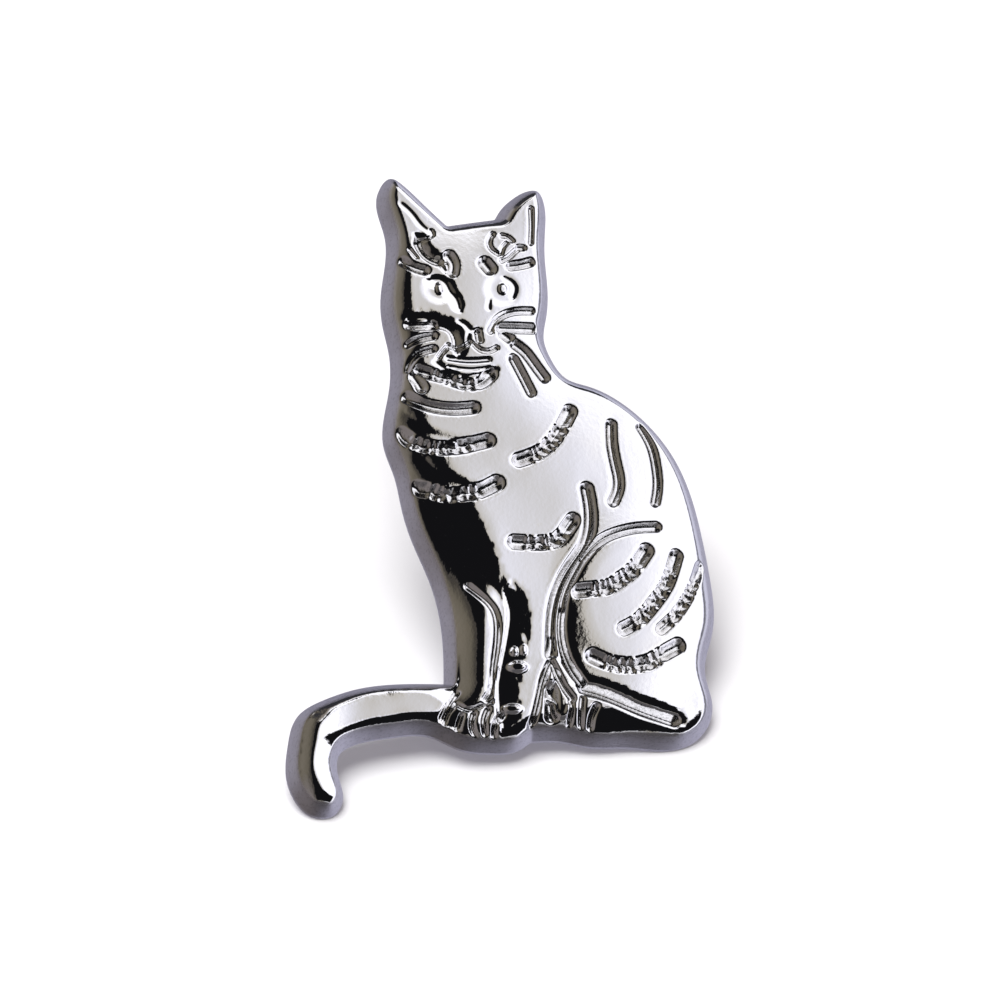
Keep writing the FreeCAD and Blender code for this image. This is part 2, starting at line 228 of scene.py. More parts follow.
FOLDS = (
    Fold("ear_band", 0.20, 0.055, (
        (-4.77, 11.41), (-5.18, 11.68), (-5.55, 12.14), (-5.97, 12.6), (-6.3, 12.85),
    ), 0.15),
    Fold("ear_hollow", 0.66, 0.46, ((-4.3, 9.8), (-4.65, 9.9), (-5.17, 10.3), (-5.42, 10.8))),
    Fold("left_eye_rim", 0.30, 0.12, (
        (-3.28, 7.62), (-3.45, 8.0), (-3.72, 8.36), (-4.0, 8.8), (-4.27, 8.9), (-4.6, 8.88),
    ), 0.6),
    Fold("right_eye_rim", 0.18, 0.06, (
        (-0.6, 8.15), (-0.48, 8.44), (-0.47, 8.75), (-0.67, 9.0), (-1.0, 9.15),
    ), 0.10),
    Fold("tear_mark", 0.18, 0.07, ((-1.82, 7.45), (-1.8, 7.7), (-1.76, 7.92)), 0.10),
    Fold("nose", 0.28, 0.09, ((-2.3, 6.25), (-2.75, 6.22), (-3.0, 6.5), (-3.28, 6.62)), 0.12),
    Fold("nostril", 0.20, 0.07, ((-2.92, 5.62), (-2.9, 5.85), (-2.82, 6.1)), 0.10),
    Fold("cheek", 0.62, 0.17, ((-4.4, 6.55), (-4.8, 6.7), (-5.3, 6.72), (-5.83, 6.68)), 0.12),
    Fold("muzzle", 0.70, 0.30, (
        (-3.5, 5.3), (-3.55, 5.75), (-3.75, 6.15), (-4.1, 6.35), (-4.45, 6.4),
    ), 0.15),
    Fold("chin", 0.26, 0.08, (
        (-1.43, 4.26), (-2.4, 3.9), (-3.14, 3.78), (-3.89, 4.05), (-4.48, 4.44),
    )),
    Fold("chest_top", 0.40, 0.07, ((-3.0, 0.35), (-4.2, 0.55), (-5.1, 0.9), (-5.75, 1.6)), 0.8),
    Fold("chest_middle", 0.45, 0.10, (
        (-2.6, -2.1), (-3.6, -1.75), (-4.4, -1.3), (-5.0, -0.6),
    ), 0.8),
    Fold("chest_low", 1.00, 0.16, (
        (-1.2, -7.6), (-1.9, -6.6), (-2.5, -5.2), (-3.1, -4.0), (-3.7, -3.0),
    ), 2.2),
    Fold("leg_slot", 0.26, 0.10, (
        (-1.8, -12.3), (-1.66, -11.6), (-1.46, -10.6), (-1.4, -9.4), (-1.42, -8.4),
    ), 0.12),
    Fold("leg", 1.20, 0.26, (
        (-1.2, -13.8), (-1.3, -12.9), (-1.3, -11.8), (-1.12, -10.7), (-0.86, -9.2),
        (-0.84, -8.2), (-0.95, -7.8),
    ), 0.12),
    Fold("leg_top", 0.90, 0.14, ((-0.95, -7.8), (-1.3, -7.6), (-1.9, -7.1), (-2.5, -6.6)), 0.10),
    Fold("thigh_foot", 0.40, 0.12, (
        (2.5, -11.6), (2.0, -10.9), (1.55, -10.2), (1.45, -9.6),
    )),
    Fold("haunch_side", 0.62, 0.14, (
        (3.0, -12.0), (2.5, -11.3), (2.1, -10.5), (1.85, -9.5), (1.85, -8.7), (1.9, -8.2),
    )),
    Fold("haunch_foot", 0.80, 0.27, (
        (7.5, -13.5), (6.7, -13.25), (5.75, -12.95), (4.75, -12.6), (3.9, -12.3), (2.9, -12.05),
    )),
)

STROKES = (
    Stroke("left_ear_bend", Cut.GROOVE, 0.24, 0.10, (
        (-4.7, 11.5), (-4.62, 11.3), (-4.8, 11.1), (-5.2, 10.95),
    )),
    Stroke("left_temple_slot", Cut.GROOVE, 0.60, 0.26, (
        (-6.15, 9.8), (-5.6, 9.48), (-5.05, 9.33),
    )),
    Stroke("left_temple_nick", Cut.GROOVE, 0.25, 0.12, ((-5.8, 10.4), (-5.45, 10))),
    Stroke("brow_leaf", Cut.HOLLOW, 0.62, 0.24, ((-3.8, 10.2), (-3.6, 9.8), (-3.64, 9.3))),
    Stroke("brow_nick", Cut.GROOVE, 0.30, 0.10, ((-4.2, 9.6), (-3.95, 9.3))),
    Stroke("brow_diamond", Cut.HOLLOW, 0.78, 0.26, ((-1.98, 9.9), (-1.74, 9.62))),
    Stroke("right_ear_leaf", Cut.GROOVE, 0.30, 0.14, (
        (-1.57, 11.5), (-1.77, 11.1), (-1.66, 10.7), (-1.28, 10.45),
    )),
    Stroke("right_ear_notch", Cut.GROOVE, 0.28, 0.14, (
        (-1.1, 11.45), (-0.82, 11.4), (-0.57, 11.2),
    )),
    Stroke("right_ear_fold", Cut.GROOVE, 0.28, 0.10, (
        (-0.8, 11.1), (-1.05, 10.8), (-1.15, 10.45),
    )),
    Stroke("right_ear_line", Cut.GROOVE, 0.32, 0.18, ((0.41, 13), (0.44, 12.1), (0.4, 11.15))),
    Stroke("right_temple_nick", Cut.HOLLOW, 0.36, 0.16, ((-0.25, 10.85), (0, 10.85))),
    Stroke("right_temple_line", Cut.GROOVE, 0.34, 0.14, (
        (-1.1, 10.1), (-0.76, 10.3), (-0.42, 10.64), (-0.15, 10.85),
    )),
    Stroke("right_temple_slot", Cut.GROOVE, 0.55, 0.24, (
        (-0.65, 9.83), (-0.15, 9.94), (0.38, 10.12),
    )),
    Stroke("whisker_r1", Cut.GROOVE, 0.45, 0.18, (
        (-1.7, 6.3), (-1.43, 6.82), (-1.06, 7.15), (-0.31, 7.43), (0.44, 7.5),
    )),
    Stroke("whisker_r2", Cut.GROOVE, 0.62, 0.26, ((-1.2, 6.48), (-0.39, 6.52), (0.46, 6.57))),
    Stroke("whisker_r3", Cut.GROOVE, 0.66, 0.28, (
        (-0.43, 5.64), (-0.02, 5.35), (0.5, 4.72), (1.04, 4),
    )),
    Stroke("whisker_r4", Cut.GROOVE, 0.56, 0.26, ((-0.54, 4.86), (-0.09, 4), (0.33, 3.13))),
    Stroke("whisker_l1", Cut.GROOVE, 0.66, 0.26, ((-5.79, 6.42), (-5.2, 6.4), (-4.64, 6.4))),
    Stroke("whisker_l2", Cut.GROOVE, 0.50, 0.22, ((-5.86, 5.36), (-5.38, 5.63), (-4.63, 5.86))),
    Stroke("whisker_l3", Cut.GROOVE, 0.45, 0.20, (
        (-5.87, 4.05), (-5.63, 4.6), (-5.15, 4.98), (-4.63, 5.16),
    )),
    Stroke("nostril_r", Cut.HOLLOW, 0.40, 0.20, ((-2.35, 6.15), (-2.28, 5.72))),
    Stroke("lip_left", Cut.GROOVE, 0.30, 0.16, (
        (-3.85, 5.36), (-3.44, 5.27), (-3.07, 5.37), (-2.74, 5.6),
    )),
    Stroke("lip_right", Cut.GROOVE, 0.30, 0.16, (
        (-2.55, 5.5), (-2.25, 5.24), (-1.81, 5.18), (-1.4, 5.39),
    )),
    Stroke("muzzle_right", Cut.HOLLOW, 0.62, 0.24, ((-1.02, 6.14), (-0.74, 5.95))),
    Stroke("muzzle_line", Cut.GROOVE, 0.28, 0.12, ((-4.37, 4.66), (-4.11, 5.04), (-3.84, 5.36))),
    Stroke("mouth", Cut.GROOVE, 0.36, 0.10, ((-3.85, 4.7), (-2.85, 4.63), (-1.81, 4.75))),
    Stroke("under_mouth", Cut.GROOVE, 0.20, 0.07, ((-3.85, 4.26), (-2.77, 4.15), (-1.75, 4.34))),
    Stroke("chin_stripe", Cut.BEADED, 0.72, 0.30, (
        (-5.3, 4), (-4.85, 3.86), (-4.18, 3.72), (-3.44, 3.49), (-2.77, 3.38), (-2.1, 3.57),
        (-1.7, 3.98),
    )),
    Stroke("throat_hollow", Cut.HOLLOW, 0.70, 0.26, ((-5.5, 3.7), (-5.2, 3.1))),
    Stroke("neck_stripe", Cut.GROOVE, 0.70, 0.30, (
        (-5.9, 2.6), (-5.2, 2.25), (-4.3, 2.05), (-3.25, 2.05), (-2.6, 2.15),
    )),
    Stroke("chest_stripe_1", Cut.BEADED, 0.80, 0.32, (
        (-6.2, 0.7), (-5.5, 0.2), (-4.55, -0.05), (-3.5, 0), (-2.55, 0.25), (-1.9, 0.45),
    )),
    Stroke("chest_stripe_2", Cut.BEADED, 0.85, 0.32, (
        (-5.4, -2.1), (-4.7, -2.25), (-3.9, -2.45), (-3, -2.4), (-2.15, -2.15), (-1.45, -1.75),
    )),
    Stroke("shoulder_stripe", Cut.BEADED, 0.80, 0.30, (
        (-0.3, -0.5), (0.5, -0.15), (1.25, 0.45), (1.85, 1.35), (2.3, 2.25),
    )),
    Stroke("back_stripe_1", Cut.GROOVE, 0.62, 0.28, (
        (4.42, 1.7), (4.43, 0.7), (4.62, -0.5), (4.74, -1.55), (4.45, -2.4),
    )),
    Stroke("back_stripe_2", Cut.GROOVE, 0.52, 0.26, (
        (5.95, 1.68), (6.42, 0.82), (6.7, -0.4), (6.75, -1.5), (6.62, -2.3),
    )),
    Stroke("belly_stripe", Cut.BEADED, 0.80, 0.30, (
        (-0.55, -4.8), (0.2, -4.8), (1, -4.75), (1.65, -4.5), (2.1, -3.95), (2.4, -3.5),
    )),
    Stroke("thigh_front", Cut.GROOVE, 0.72, 0.32, (
        (3.1, -1.8), (3.25, -2.7), (3.25, -3.75), (3, -4.7), (2.45, -5.6), (1.85, -6.65),
        (1.5, -7.7), (1.35, -8.75), (1.32, -9.75), (1.3, -10.4),
    )),
    Stroke("thigh_top", Cut.GROOVE, 0.60, 0.28, (
        (6.65, -3.6), (5.8, -3.7), (4.85, -3.95), (4, -4.35), (3.35, -4.9), (2.8, -5.6),
    )),
    Stroke("thigh_seam", Cut.GROOVE, 0.55, 0.30, (
        (2.8, -5.6), (2.35, -6.45), (2, -7.3), (1.8, -8.3), (1.8, -9.5), (2, -10.35),
        (2.4, -11.15), (2.95, -11.85),
    )),
    Stroke("foot_line", Cut.GROOVE, 0.75, 0.34, (
        (3, -12.1), (3.9, -12.3), (4.75, -12.6), (5.75, -13), (6.65, -13.25), (7.55, -13.45),
    )),
    Stroke("haunch_stripe_1", Cut.BEADED, 0.80, 0.30, (
        (2.65, -7.15), (3.4, -7.05), (4.15, -6.9), (4.75, -6.5), (5.35, -6), (5.75, -5.45),
        (6.1, -4.9),
    )),
    Stroke("haunch_stripe_2", Cut.BEADED, 0.75, 0.30, (
        (4.95, -9), (5.65, -8.55), (6.35, -7.75), (6.95, -6.9), (7.35, -6), (7.65, -5.05),
    )),
    Stroke("haunch_stripe_3", Cut.BEADED, 0.62, 0.28, (
        (6.85, -8.9), (7.45, -8.3), (8.08, -7.4), (8.58, -6.42), (8.95, -5.45),
    )),
    Stroke("haunch_stripe_4", Cut.BEADED, 0.85, 0.30, (
        (3.4, -10.45), (4.2, -10.75), (5.25, -10.85), (6.15, -10.65), (6.9, -10.2), (7.7, -9.7),
    )),
    Stroke("foreleg_line", Cut.GROOVE, 0.45, 0.20, (
        (-2.8, -7.1), (-2.15, -7.65), (-1.6, -8.25), (-1.4, -8.95), (-1.45, -10.15),
        (-1.55, -11.3), (-1.65, -12.45), (-1.9, -12.85),
    )),
    Stroke("wedge_left", Cut.GROOVE, 0.45, 0.26, (
        (1.3, -10.75), (1, -11.5), (0.7, -12.8), (0.4, -14.05),
    )),
    Stroke("wedge_right", Cut.GROOVE, 0.45, 0.24, (
        (1.35, -10.75), (1.65, -11.45), (2.05, -12.15), (2.4, -12.6),
    )),
    Stroke("wedge_hollow", Cut.HOLLOW, 0.85, 0.34, ((1.35, -12.2), (1.4, -13.5))),
    Stroke("toe_f1", Cut.GROOVE, 0.30, 0.18, ((-3.4, -13.15), (-3.75, -13.55), (-3.9, -14.1))),
    Stroke("toe_f2", Cut.GROOVE, 0.35, 0.20, ((-3.1, -13.65), (-3.25, -14.2), (-3.3, -14.5))),
    Stroke("toe_f3", Cut.GROOVE, 0.40, 0.22, ((-2.5, -13.55), (-2.6, -14.05), (-2.35, -14.7))),
    Stroke("toe_f4", Cut.GROOVE, 0.40, 0.22, ((-1.8, -13.3), (-2, -13.9), (-1.9, -14.5))),
    Stroke("toe_f5", Cut.GROOVE, 0.40, 0.22, ((-1.1, -13.6), (-1.4, -14), (-1.45, -14.65))),
    Stroke("wrist_line", Cut.GROOVE, 0.35, 0.16, (
        (-3.35, -13.05), (-2.75, -13.35), (-2.15, -13.15), (-1.6, -12.95),
    )),
    Stroke("toe_h1", Cut.GROOVE, 0.35, 0.20, ((2.3, -12.55), (2.35, -13.2), (2.3, -13.95))),
    Stroke("toe_h2", Cut.GROOVE, 0.40, 0.20, ((2.9, -12.5), (2.85, -13.2), (2.9, -14))),
    Stroke("toe_h3", Cut.GROOVE, 0.45, 0.22, ((3.6, -12.95), (3.4, -13.45), (3.35, -14.1))),
    Stroke("tail_root", Cut.GROOVE, 0.40, 0.18, (
        (-3.3, -12.45), (-3.75, -13.15), (-4.05, -13.8),
    )),
)

# How round the bottom of each kind of cut is: a small share gives straight sides.
CUT_ROUNDNESS = {Cut.GROOVE: 0.25, Cut.HOLLOW: 0.8, Cut.BEADED: 0.6}

# Smallest distance from the outline that still has a side, in mm.
HAIR = 1e-5


def smooth_line(points: tuple[Point, ...], step: float) -> np.ndarray:
    """Sample the natural cubic spline through a run of points.

    Args:
        points: Places the line goes through, in mm.
        step: Largest distance between two samples, in mm.

    Returns:
        The samples as rows of (x, z), with the run's ends first and last.
    """
    knots = np.array(points, float)
    chords = np.hypot(*np.diff(knots, axis=0).T)
    places = np.concatenate(([0.0], np.cumsum(chords)))
    system = np.eye(len(knots))
    pull = np.zeros_like(knots)
    for k in range(1, len(knots) - 1):
        before, after = chords[k - 1], chords[k]
        system[k, k - 1:k + 2] = before, 2 * (before + after), after
        turn = (knots[k + 1] - knots[k]) / after - (knots[k] - knots[k - 1]) / before
        pull[k] = 6 * turn
    bend = np.linalg.solve(system, pull)
    at = np.linspace(0.0, places[-1], max(2, math.ceil(places[-1] / step) + 1))
    k = np.clip(np.searchsorted(places, at, side="right") - 1, 0, len(knots) - 2)
    span = chords[k][:, None]
    first = (places[k + 1] - at)[:, None] / span
    second = 1 - first
    line = first * knots[k] + second * knots[k + 1]
    line += ((first ** 3 - first) * bend[k] + (second ** 3 - second) * bend[k + 1]) * span ** 2 / 6
    return line


def eased(value: np.ndarray, low: float, high: float) -> np.ndarray:
    """Smooth step from 0 at low to 1 at high."""
    share = np.clip((value - low) / (high - low), 0.0, 1.0)
    return share * share * (3 - 2 * share)


class Grid:
    """A square grid over the cat's front, in mm, with x along rows and z down columns.

    BELL_REACH is how many standard deviations of a blur's bell curve are taken in.
    """

    BELL_REACH = 2.5

    def __init__(self, low: Point, high: Point, pitch: float) -> None:
        """Lay the grid out.

        Args:
            low: Lowest x and z.
            high: Highest x and z.
            pitch: Distance between neighbouring grid points.
        """
        self.pitch = pitch
        self.xs = np.arange(low[0], high[0] + pitch, pitch)
        self.zs = np.arange(low[1], high[1] + pitch, pitch)
        self.x, self.z = np.meshgrid(self.xs, self.zs)

    def window(self, ends: np.ndarray, reach: float) -> tuple[slice, slice]:
        """Find the part of the grid near some points.

        Args:
            ends: The points, as rows of (x, z).
            reach: How far past their box the part goes.

        Returns:
            Its rows and its columns.
        """
        low = ends.min(axis=0) - reach - (self.xs[0], self.zs[0])
        high = ends.max(axis=0) + reach - (self.xs[0], self.zs[0])
        first = np.maximum(0, np.floor(low / self.pitch)).astype(int)
        last = np.maximum(0, np.ceil(high / self.pitch)).astype(int) + 1
        return slice(first[1], last[1]), slice(first[0], last[0])

    def near(self, line: np.ndarray, reach: float) -> tuple[np.ndarray, np.ndarray, np.ndarray]:
        """Measure every grid point against a line.

        Args:
            line: Samples along the line, as rows of (x, z).
            reach: Distance past which nothing is measured.

        Returns:
            The distance to the line, which side of it (-1 or 1), and how far along it.
        """
        gap = np.full(self.x.shape, reach)
        side = np.ones(self.x.shape)
        along = np.zeros(self.x.shape)
        run = 0.0
        for start, end in zip(line, line[1:]):
            area = self.window(np.array((start, end)), reach)
            dx, dz = end - start
            length = math.hypot(dx, dz)
            px = self.x[area] - start[0]
            pz = self.z[area] - start[1]
            share = np.clip((px * dx + pz * dz) / length ** 2, 0.0, 1.0)
            here = np.hypot(px - share * dx, pz - share * dz)
            nearer = here < gap[area]
            gap[area][nearer] = here[nearer]
            side[area][nearer] = np.sign(px * dz - pz * dx)[nearer]
            along[area][nearer] = (run + share * length)[nearer]
            run += length
        return gap, side, along

    def inside(self, loop: np.ndarray) -> np.ndarray:
        """Find the grid points that a closed loop surrounds.

        Args:
            loop: Samples round the loop, as rows of (x, z).

        Returns:
            Whether each grid point is inside it.
        """
        flips = np.zeros(self.x.shape, bool)
        for (xa, za), (xb, zb) in zip(loop, np.roll(loop, -1, axis=0)):
            low, high = min(za, zb), max(za, zb)
            first = math.ceil((low - self.zs[0]) / self.pitch)
            last = math.ceil((high - self.zs[0]) / self.pitch)
            for row in range(first, last):
                crossing = xa + (self.zs[row] - za) / (zb - za) * (xb - xa)
                column = math.ceil((crossing - self.xs[0]) / self.pitch)
                flips[row, column:] ^= True
        return flips

    def blurred(self, values: np.ndarray, spread: float) -> np.ndarray:
        """Smooth values over a bell curve.

        Args:
            values: One value for each grid point.
            spread: The curve's standard deviation, in mm.

        Returns:
            The smoothed values.
        """
        half = max(1, math.ceil(self.BELL_REACH * spread / self.pitch))
        offsets = np.arange(-half, half + 1) * self.pitch
        weights = np.exp(-0.5 * (offsets / spread) ** 2)
        weights /= weights.sum()
        for axis, margins in enumerate((((half, half), (0, 0)), ((0, 0), (half, half)))):
            padded = np.pad(values, margins, "edge")
            count = values.shape[axis]
            values = sum(w * np.take(padded, range(k, k + count), axis=axis)
                         for k, w in enumerate(weights))
        return values


@dataclass
class MeshStock:
    """Vertices, faces and corner normals gathered before they become one mesh."""

    places: list[np.ndarray] = field(default_factory=list)
    corners: list[np.ndarray] = field(default_factory=list)
    sizes: list[np.ndarray] = field(default_factory=list)
    normals: list[np.ndarray] = field(default_factory=list)
    count: int = 0

    def add_places(self, places: np.ndarray) -> np.ndarray:
        """Add vertices.

        Args:
            places: Their places, as rows of (x, y, z) in mm.

        Returns:
            Their numbers.
        """
        numbers = np.arange(self.count, self.count + len(places))
        self.places.append(places)
        self.count += len(places)
        return numbers

    def add_faces(self, faces: np.ndarray, normals: np.ndarray) -> None:
        """Add faces that all have the same number of corners.

        Args:
            faces: Vertex numbers, one row for each face.
            normals: Corner normals, of shape (faces, corners, 3).
        """
        self.corners.append(faces.reshape(-1))
        self.sizes.append(np.full(len(faces), faces.shape[1]))
        self.normals.append(normals.reshape(-1, 3))

    def mesh(self, name: str) -> bpy.types.Mesh:
        """Make one smooth-shaded mesh with its own corner normals.

        Args:
            name: The mesh's name.

        Returns:
            The mesh.
        """
        places = np.concatenate(self.places) * MM
        corners = np.concatenate(self.corners)
        sizes = np.concatenate(self.sizes)
        made = bpy.data.meshes.new(name)
        made.vertices.add(len(places))
        made.vertices.foreach_set("co", places.astype(np.float32).ravel())
        made.loops.add(len(corners))
        made.loops.foreach_set("vertex_index", corners.astype(np.int32))
        made.polygons.add(len(sizes))
        starts = np.concatenate(([0], np.cumsum(sizes)[:-1]))
        made.polygons.foreach_set("loop_start", starts.astype(np.int32))
        made.update(calc_edges=True)
        made.validate()
        made.shade_smooth()
        made.normals_split_custom_set(np.concatenate(self.normals))
        return made


@dataclass
class CatCasting:
    """The cast cat: edge land, drafted wall, cushioned top, fur cuts and two recesses.

    Lengths are in mm. Each pair that ends in _range bounds a random factor. cut_fade and
    bead_rows are in half widths of their cut, cut_edge is in widths of the drafted wall, and
    skin_blur is in steps of the skin.
    """

    land: float = 0.3
    wall: float = 1.3
    draft: float = 0.5
    pitch: float = 0.065
    outline_step: float = 0.04
    reach: float = 4.4
    softness: float = 0.05
    slant_blur: float = 0.15
    grid_margin: int = 6
    skin_stride: int = 8
    skin_rounds: int = 1200
    skin_blur: float = 0.6
    recess_radius: float = 2.2
    recess_depth: float = 0.45
    recess_corners: int = 96
    spur_place: Point = (1.5, -9.0)
    spur_radius: float = 0.52
    spur_depth: float = 0.6
    spur_corners: int = 48
    edge_ease: float = 0.15
    cut_step: float = 0.08
    cut_fade: Point = (1.5, 2.2)
    cut_edge: Point = (0.6, 1.6)
    mound_edge: float = 0.8
    ridge_step: float = 0.2
    bead_spacing: float = 0.42
    bead_length: float = 0.15
    bead_height: float = 0.11
    bead_margin: float = 0.75
    bead_rows: Point = (-0.45, 0.45)
    bead_row_width: float = 0.42
    bead_seed: int = 40
    start_range: Point = (0.8, 1.2)
    size_range: Point = (0.6, 1.4)
    row_range: Point = (0.7, 1.3)
    height_range: Point = (0.4, 1.4)
    spacing_range: Point = (0.85, 1.15)
    fold_power: float = 1.6
    fold_step: float = 0.1
    fold_reach: float = 1.3
    fold_edge: float = 0.3
    fold_seed: int = 7
    fold_grain: float = 0.09
    fold_uneven: float = 0.05
    fold_sunk_share: float = 0.35
    bulge: float = 0.028
    face_bulge: float = 0.032
    face_foot: float = 5.0
    bulge_line: tuple[Point, ...] = (
        (-13.0, 5.0), (-10.0, 5.0), (-5.0, 2.5), (0.0, 0.0), (5.0, -3.2), (12.0, -3.9),
    )
    tail_height: float = 0.12
    tail_span: Point = (-7.4, -3.55)
    tail_top: float = -11.9
    wall_round: float = 0.5

    def outline(self) -> np.ndarray:
        """The cat's closed outline as samples, without a repeated last point."""
        runs = [smooth_line(run, self.outline_step)[:-1] for run in OUTLINE_RUNS]
        return np.concatenate(runs)

    def rolled_top(self, grid: Grid, depth: np.ndarray) -> np.ndarray:
        """Height of the casting before its fur is cut.

        Args:
            grid: The grid over the front.
            depth: Distance in from the outline, negative outside it.

        Returns:
            Height above the back face, in mm.
        """
        total = np.zeros(grid.x.shape)
        mixed = np.zeros((3, *grid.x.shape))
        for roll in RIM_ROLLS:
            away = (grid.x - roll.x) ** 2 + (grid.z - roll.z) ** 2
            weight = np.exp(-0.5 * away / roll.spread ** 2) + 1e-9 / (1 + away ** 2)
            total += weight
            for layer, size in zip(mixed, (roll.width, roll.slope, roll.power)):
                layer += weight * size
        width, slope, power = mixed / total
        share = np.clip((depth - self.draft) / width, 0.0, 1.0)
        power = power + 1
        drop = slope * width / power
        plateau = self.stretched(grid, depth > self.draft, drop)
        crown = plateau - drop * (1 - share) ** power
        share = np.clip(depth / self.draft, -1.0, 1.0)
        rounded = np.sin(share * math.pi / 2) * self.wall_round + share * (1 - self.wall_round)
        below = self.land + (self.wall - self.land) * rounded
        return np.where(depth > self.draft, self.wall + crown, below)

    def stretched(self, grid: Grid, free: np.ndarray, values: np.ndarray) -> np.ndarray:
        """Values outside an area, stretched across it like a skin.

        Args:
            grid: The grid over the front.
            free: Where the skin hangs free.
            values: What it is held to elsewhere.

        Returns:
            The skin's values over the whole grid.
        """
        stride = self.skin_stride
        skin = values[::stride, ::stride].copy()
        loose = free[::stride, ::stride].copy()
        loose[0], loose[-1], loose[:, 0], loose[:, -1] = False, False, False, False
        x, z = grid.x[::stride, ::stride], grid.z[::stride, ::stride]
        tail = (x > self.tail_span[0]) & (x < self.tail_span[1]) & (z < self.tail_top)
        skin[loose & tail] = self.tail_height
        loose &= ~tail
        middle = np.interp(z, *zip(*self.bulge_line))
        push = np.where(z > self.face_foot, self.face_bulge, self.bulge) * (x > middle)
        push = push * (self.pitch * stride) ** 2 / 4
        for _ in range(self.skin_rounds):
            around = (np.roll(skin, 1, 0) + np.roll(skin, -1, 0)
                      + np.roll(skin, 1, 1) + np.roll(skin, -1, 1)) / 4
            skin = np.where(loose, around + push, skin)
        # The last place stays just short of the last row or column, so that a next one exists.
        rows, columns = (np.clip(np.arange(count) / stride, 0, steps - 1.001)
                         for count, steps in zip(values.shape, skin.shape))
        row, column = rows.astype(int), columns.astype(int)
        down, across = (rows - row)[:, None], (columns - column)[None, :]
        upper = skin[row][:, column] * (1 - across) + skin[row][:, column + 1] * across
        lower = skin[row + 1][:, column] * (1 - across) + skin[row + 1][:, column + 1] * across
        whole = upper * (1 - down) + lower * down
        return grid.blurred(whole, self.pitch * stride * self.skin_blur)

    def raised(self, grid: Grid) -> np.ndarray:
        """Add up the mounds and ridges.

        Args:
            grid: The grid over the front.

        Returns:
            Their height, in mm.
        """
        height = np.zeros(grid.x.shape)
        for mound in MOUNDS:
            radius = np.hypot((grid.x - mound.x) / mound.half_x, (grid.z - mound.z) / mound.half_z)
            edge = mound.edge / min(mound.half_x, mound.half_z)
            height += mound.height * (1 - eased(radius, 1 - edge / 2, 1 + edge / 2))
        for ridge in RIDGES:
            gap, _, _ = grid.near(smooth_line(ridge.points, self.ridge_step), ridge.width)
            height += ridge.height * (1 - eased(gap, 0.0, ridge.width))
        return height

    def folded(self, grid: Grid) -> np.ndarray:
        """Lay the one-sided folds, each with a slightly uneven upper edge.

        Args:
            grid: The grid over the front.

        Returns:
            Their depth, in mm.
        """
        depth = np.zeros(grid.x.shape)
        uneven = np.random.default_rng(self.fold_seed).normal(size=grid.x.shape)
        uneven = grid.blurred(uneven, self.fold_grain)
        uneven *= self.fold_uneven / uneven.std()
        for fold in FOLDS:
            reach = max(fold.width * self.fold_reach, fold.back)
            gap, side, _ = grid.near(smooth_line(fold.points, self.fold_step), reach)
            share = np.clip(gap / (fold.width * (1 + uneven)), 0.0, 1.0)
            falling = (1 - share) ** self.fold_power
            back = 1 - eased(gap, 0.0, fold.back)
            depth = np.maximum(depth, fold.depth * np.where(side > 0, falling, back))
        return depth

    def cut_depth(self, grid: Grid) -> np.ndarray:
        """Lay all the strokes over one another.

        Args:
            grid: The grid over the front.

        Returns:
            The deepest cut at each grid point, in mm.
        """
        deepest = np.zeros(grid.x.shape)
        for number, stroke in enumerate(STROKES):
            line = smooth_line(stroke.points, self.cut_step)
            half = stroke.width / 2
            gap, side, along = grid.near(line, self.cut_fade[1] * half)
            across = gap / half
            round_share = CUT_ROUNDNESS[stroke.cut]
            drop = np.sqrt(across ** 2 + round_share ** 2) - round_share
            full = math.sqrt(1 + round_share ** 2) - round_share
            value = 1 - drop / full
            value = (value + np.sqrt(value ** 2 + self.edge_ease ** 2)) / 2
            value *= 1 - eased(across, *self.cut_fade)
            depth = stroke.depth * value
            if stroke.cut is Cut.BEADED:
                depth -= self.beads(gap * side / half, along, number)
            deepest = np.maximum(deepest, depth)
        return deepest

    def beads(self, offset: np.ndarray, along: np.ndarray, number: int) -> np.ndarray:
        """Height of the uneven ribs across the bottom of one cut.

        Args:
            offset: Signed distance from the cut's line, in half widths.
            along: Distance along the cut's line.
            number: Which stroke this is, which varies the ribs' places.

        Returns:
            Height above the cut's bottom, in mm.
        """
        draw = np.random.default_rng(self.bead_seed + number)
        height = np.zeros(offset.shape)
        last = float(along.max())
        for row in self.bead_rows:
            place = self.bead_margin * draw.uniform(*self.start_range)
            while place < last - self.bead_margin:
                size = draw.uniform(*self.size_range)
                aside = (offset - row * draw.uniform(*self.row_range)) / self.bead_row_width
                reach = np.hypot((along - place) / (self.bead_length * size), aside)
                tall = self.bead_height * draw.uniform(*self.height_range)
                height = np.maximum(height, tall * np.exp(-reach ** 4))
                place += self.bead_spacing * size * draw.uniform(*self.spacing_range)
        return height

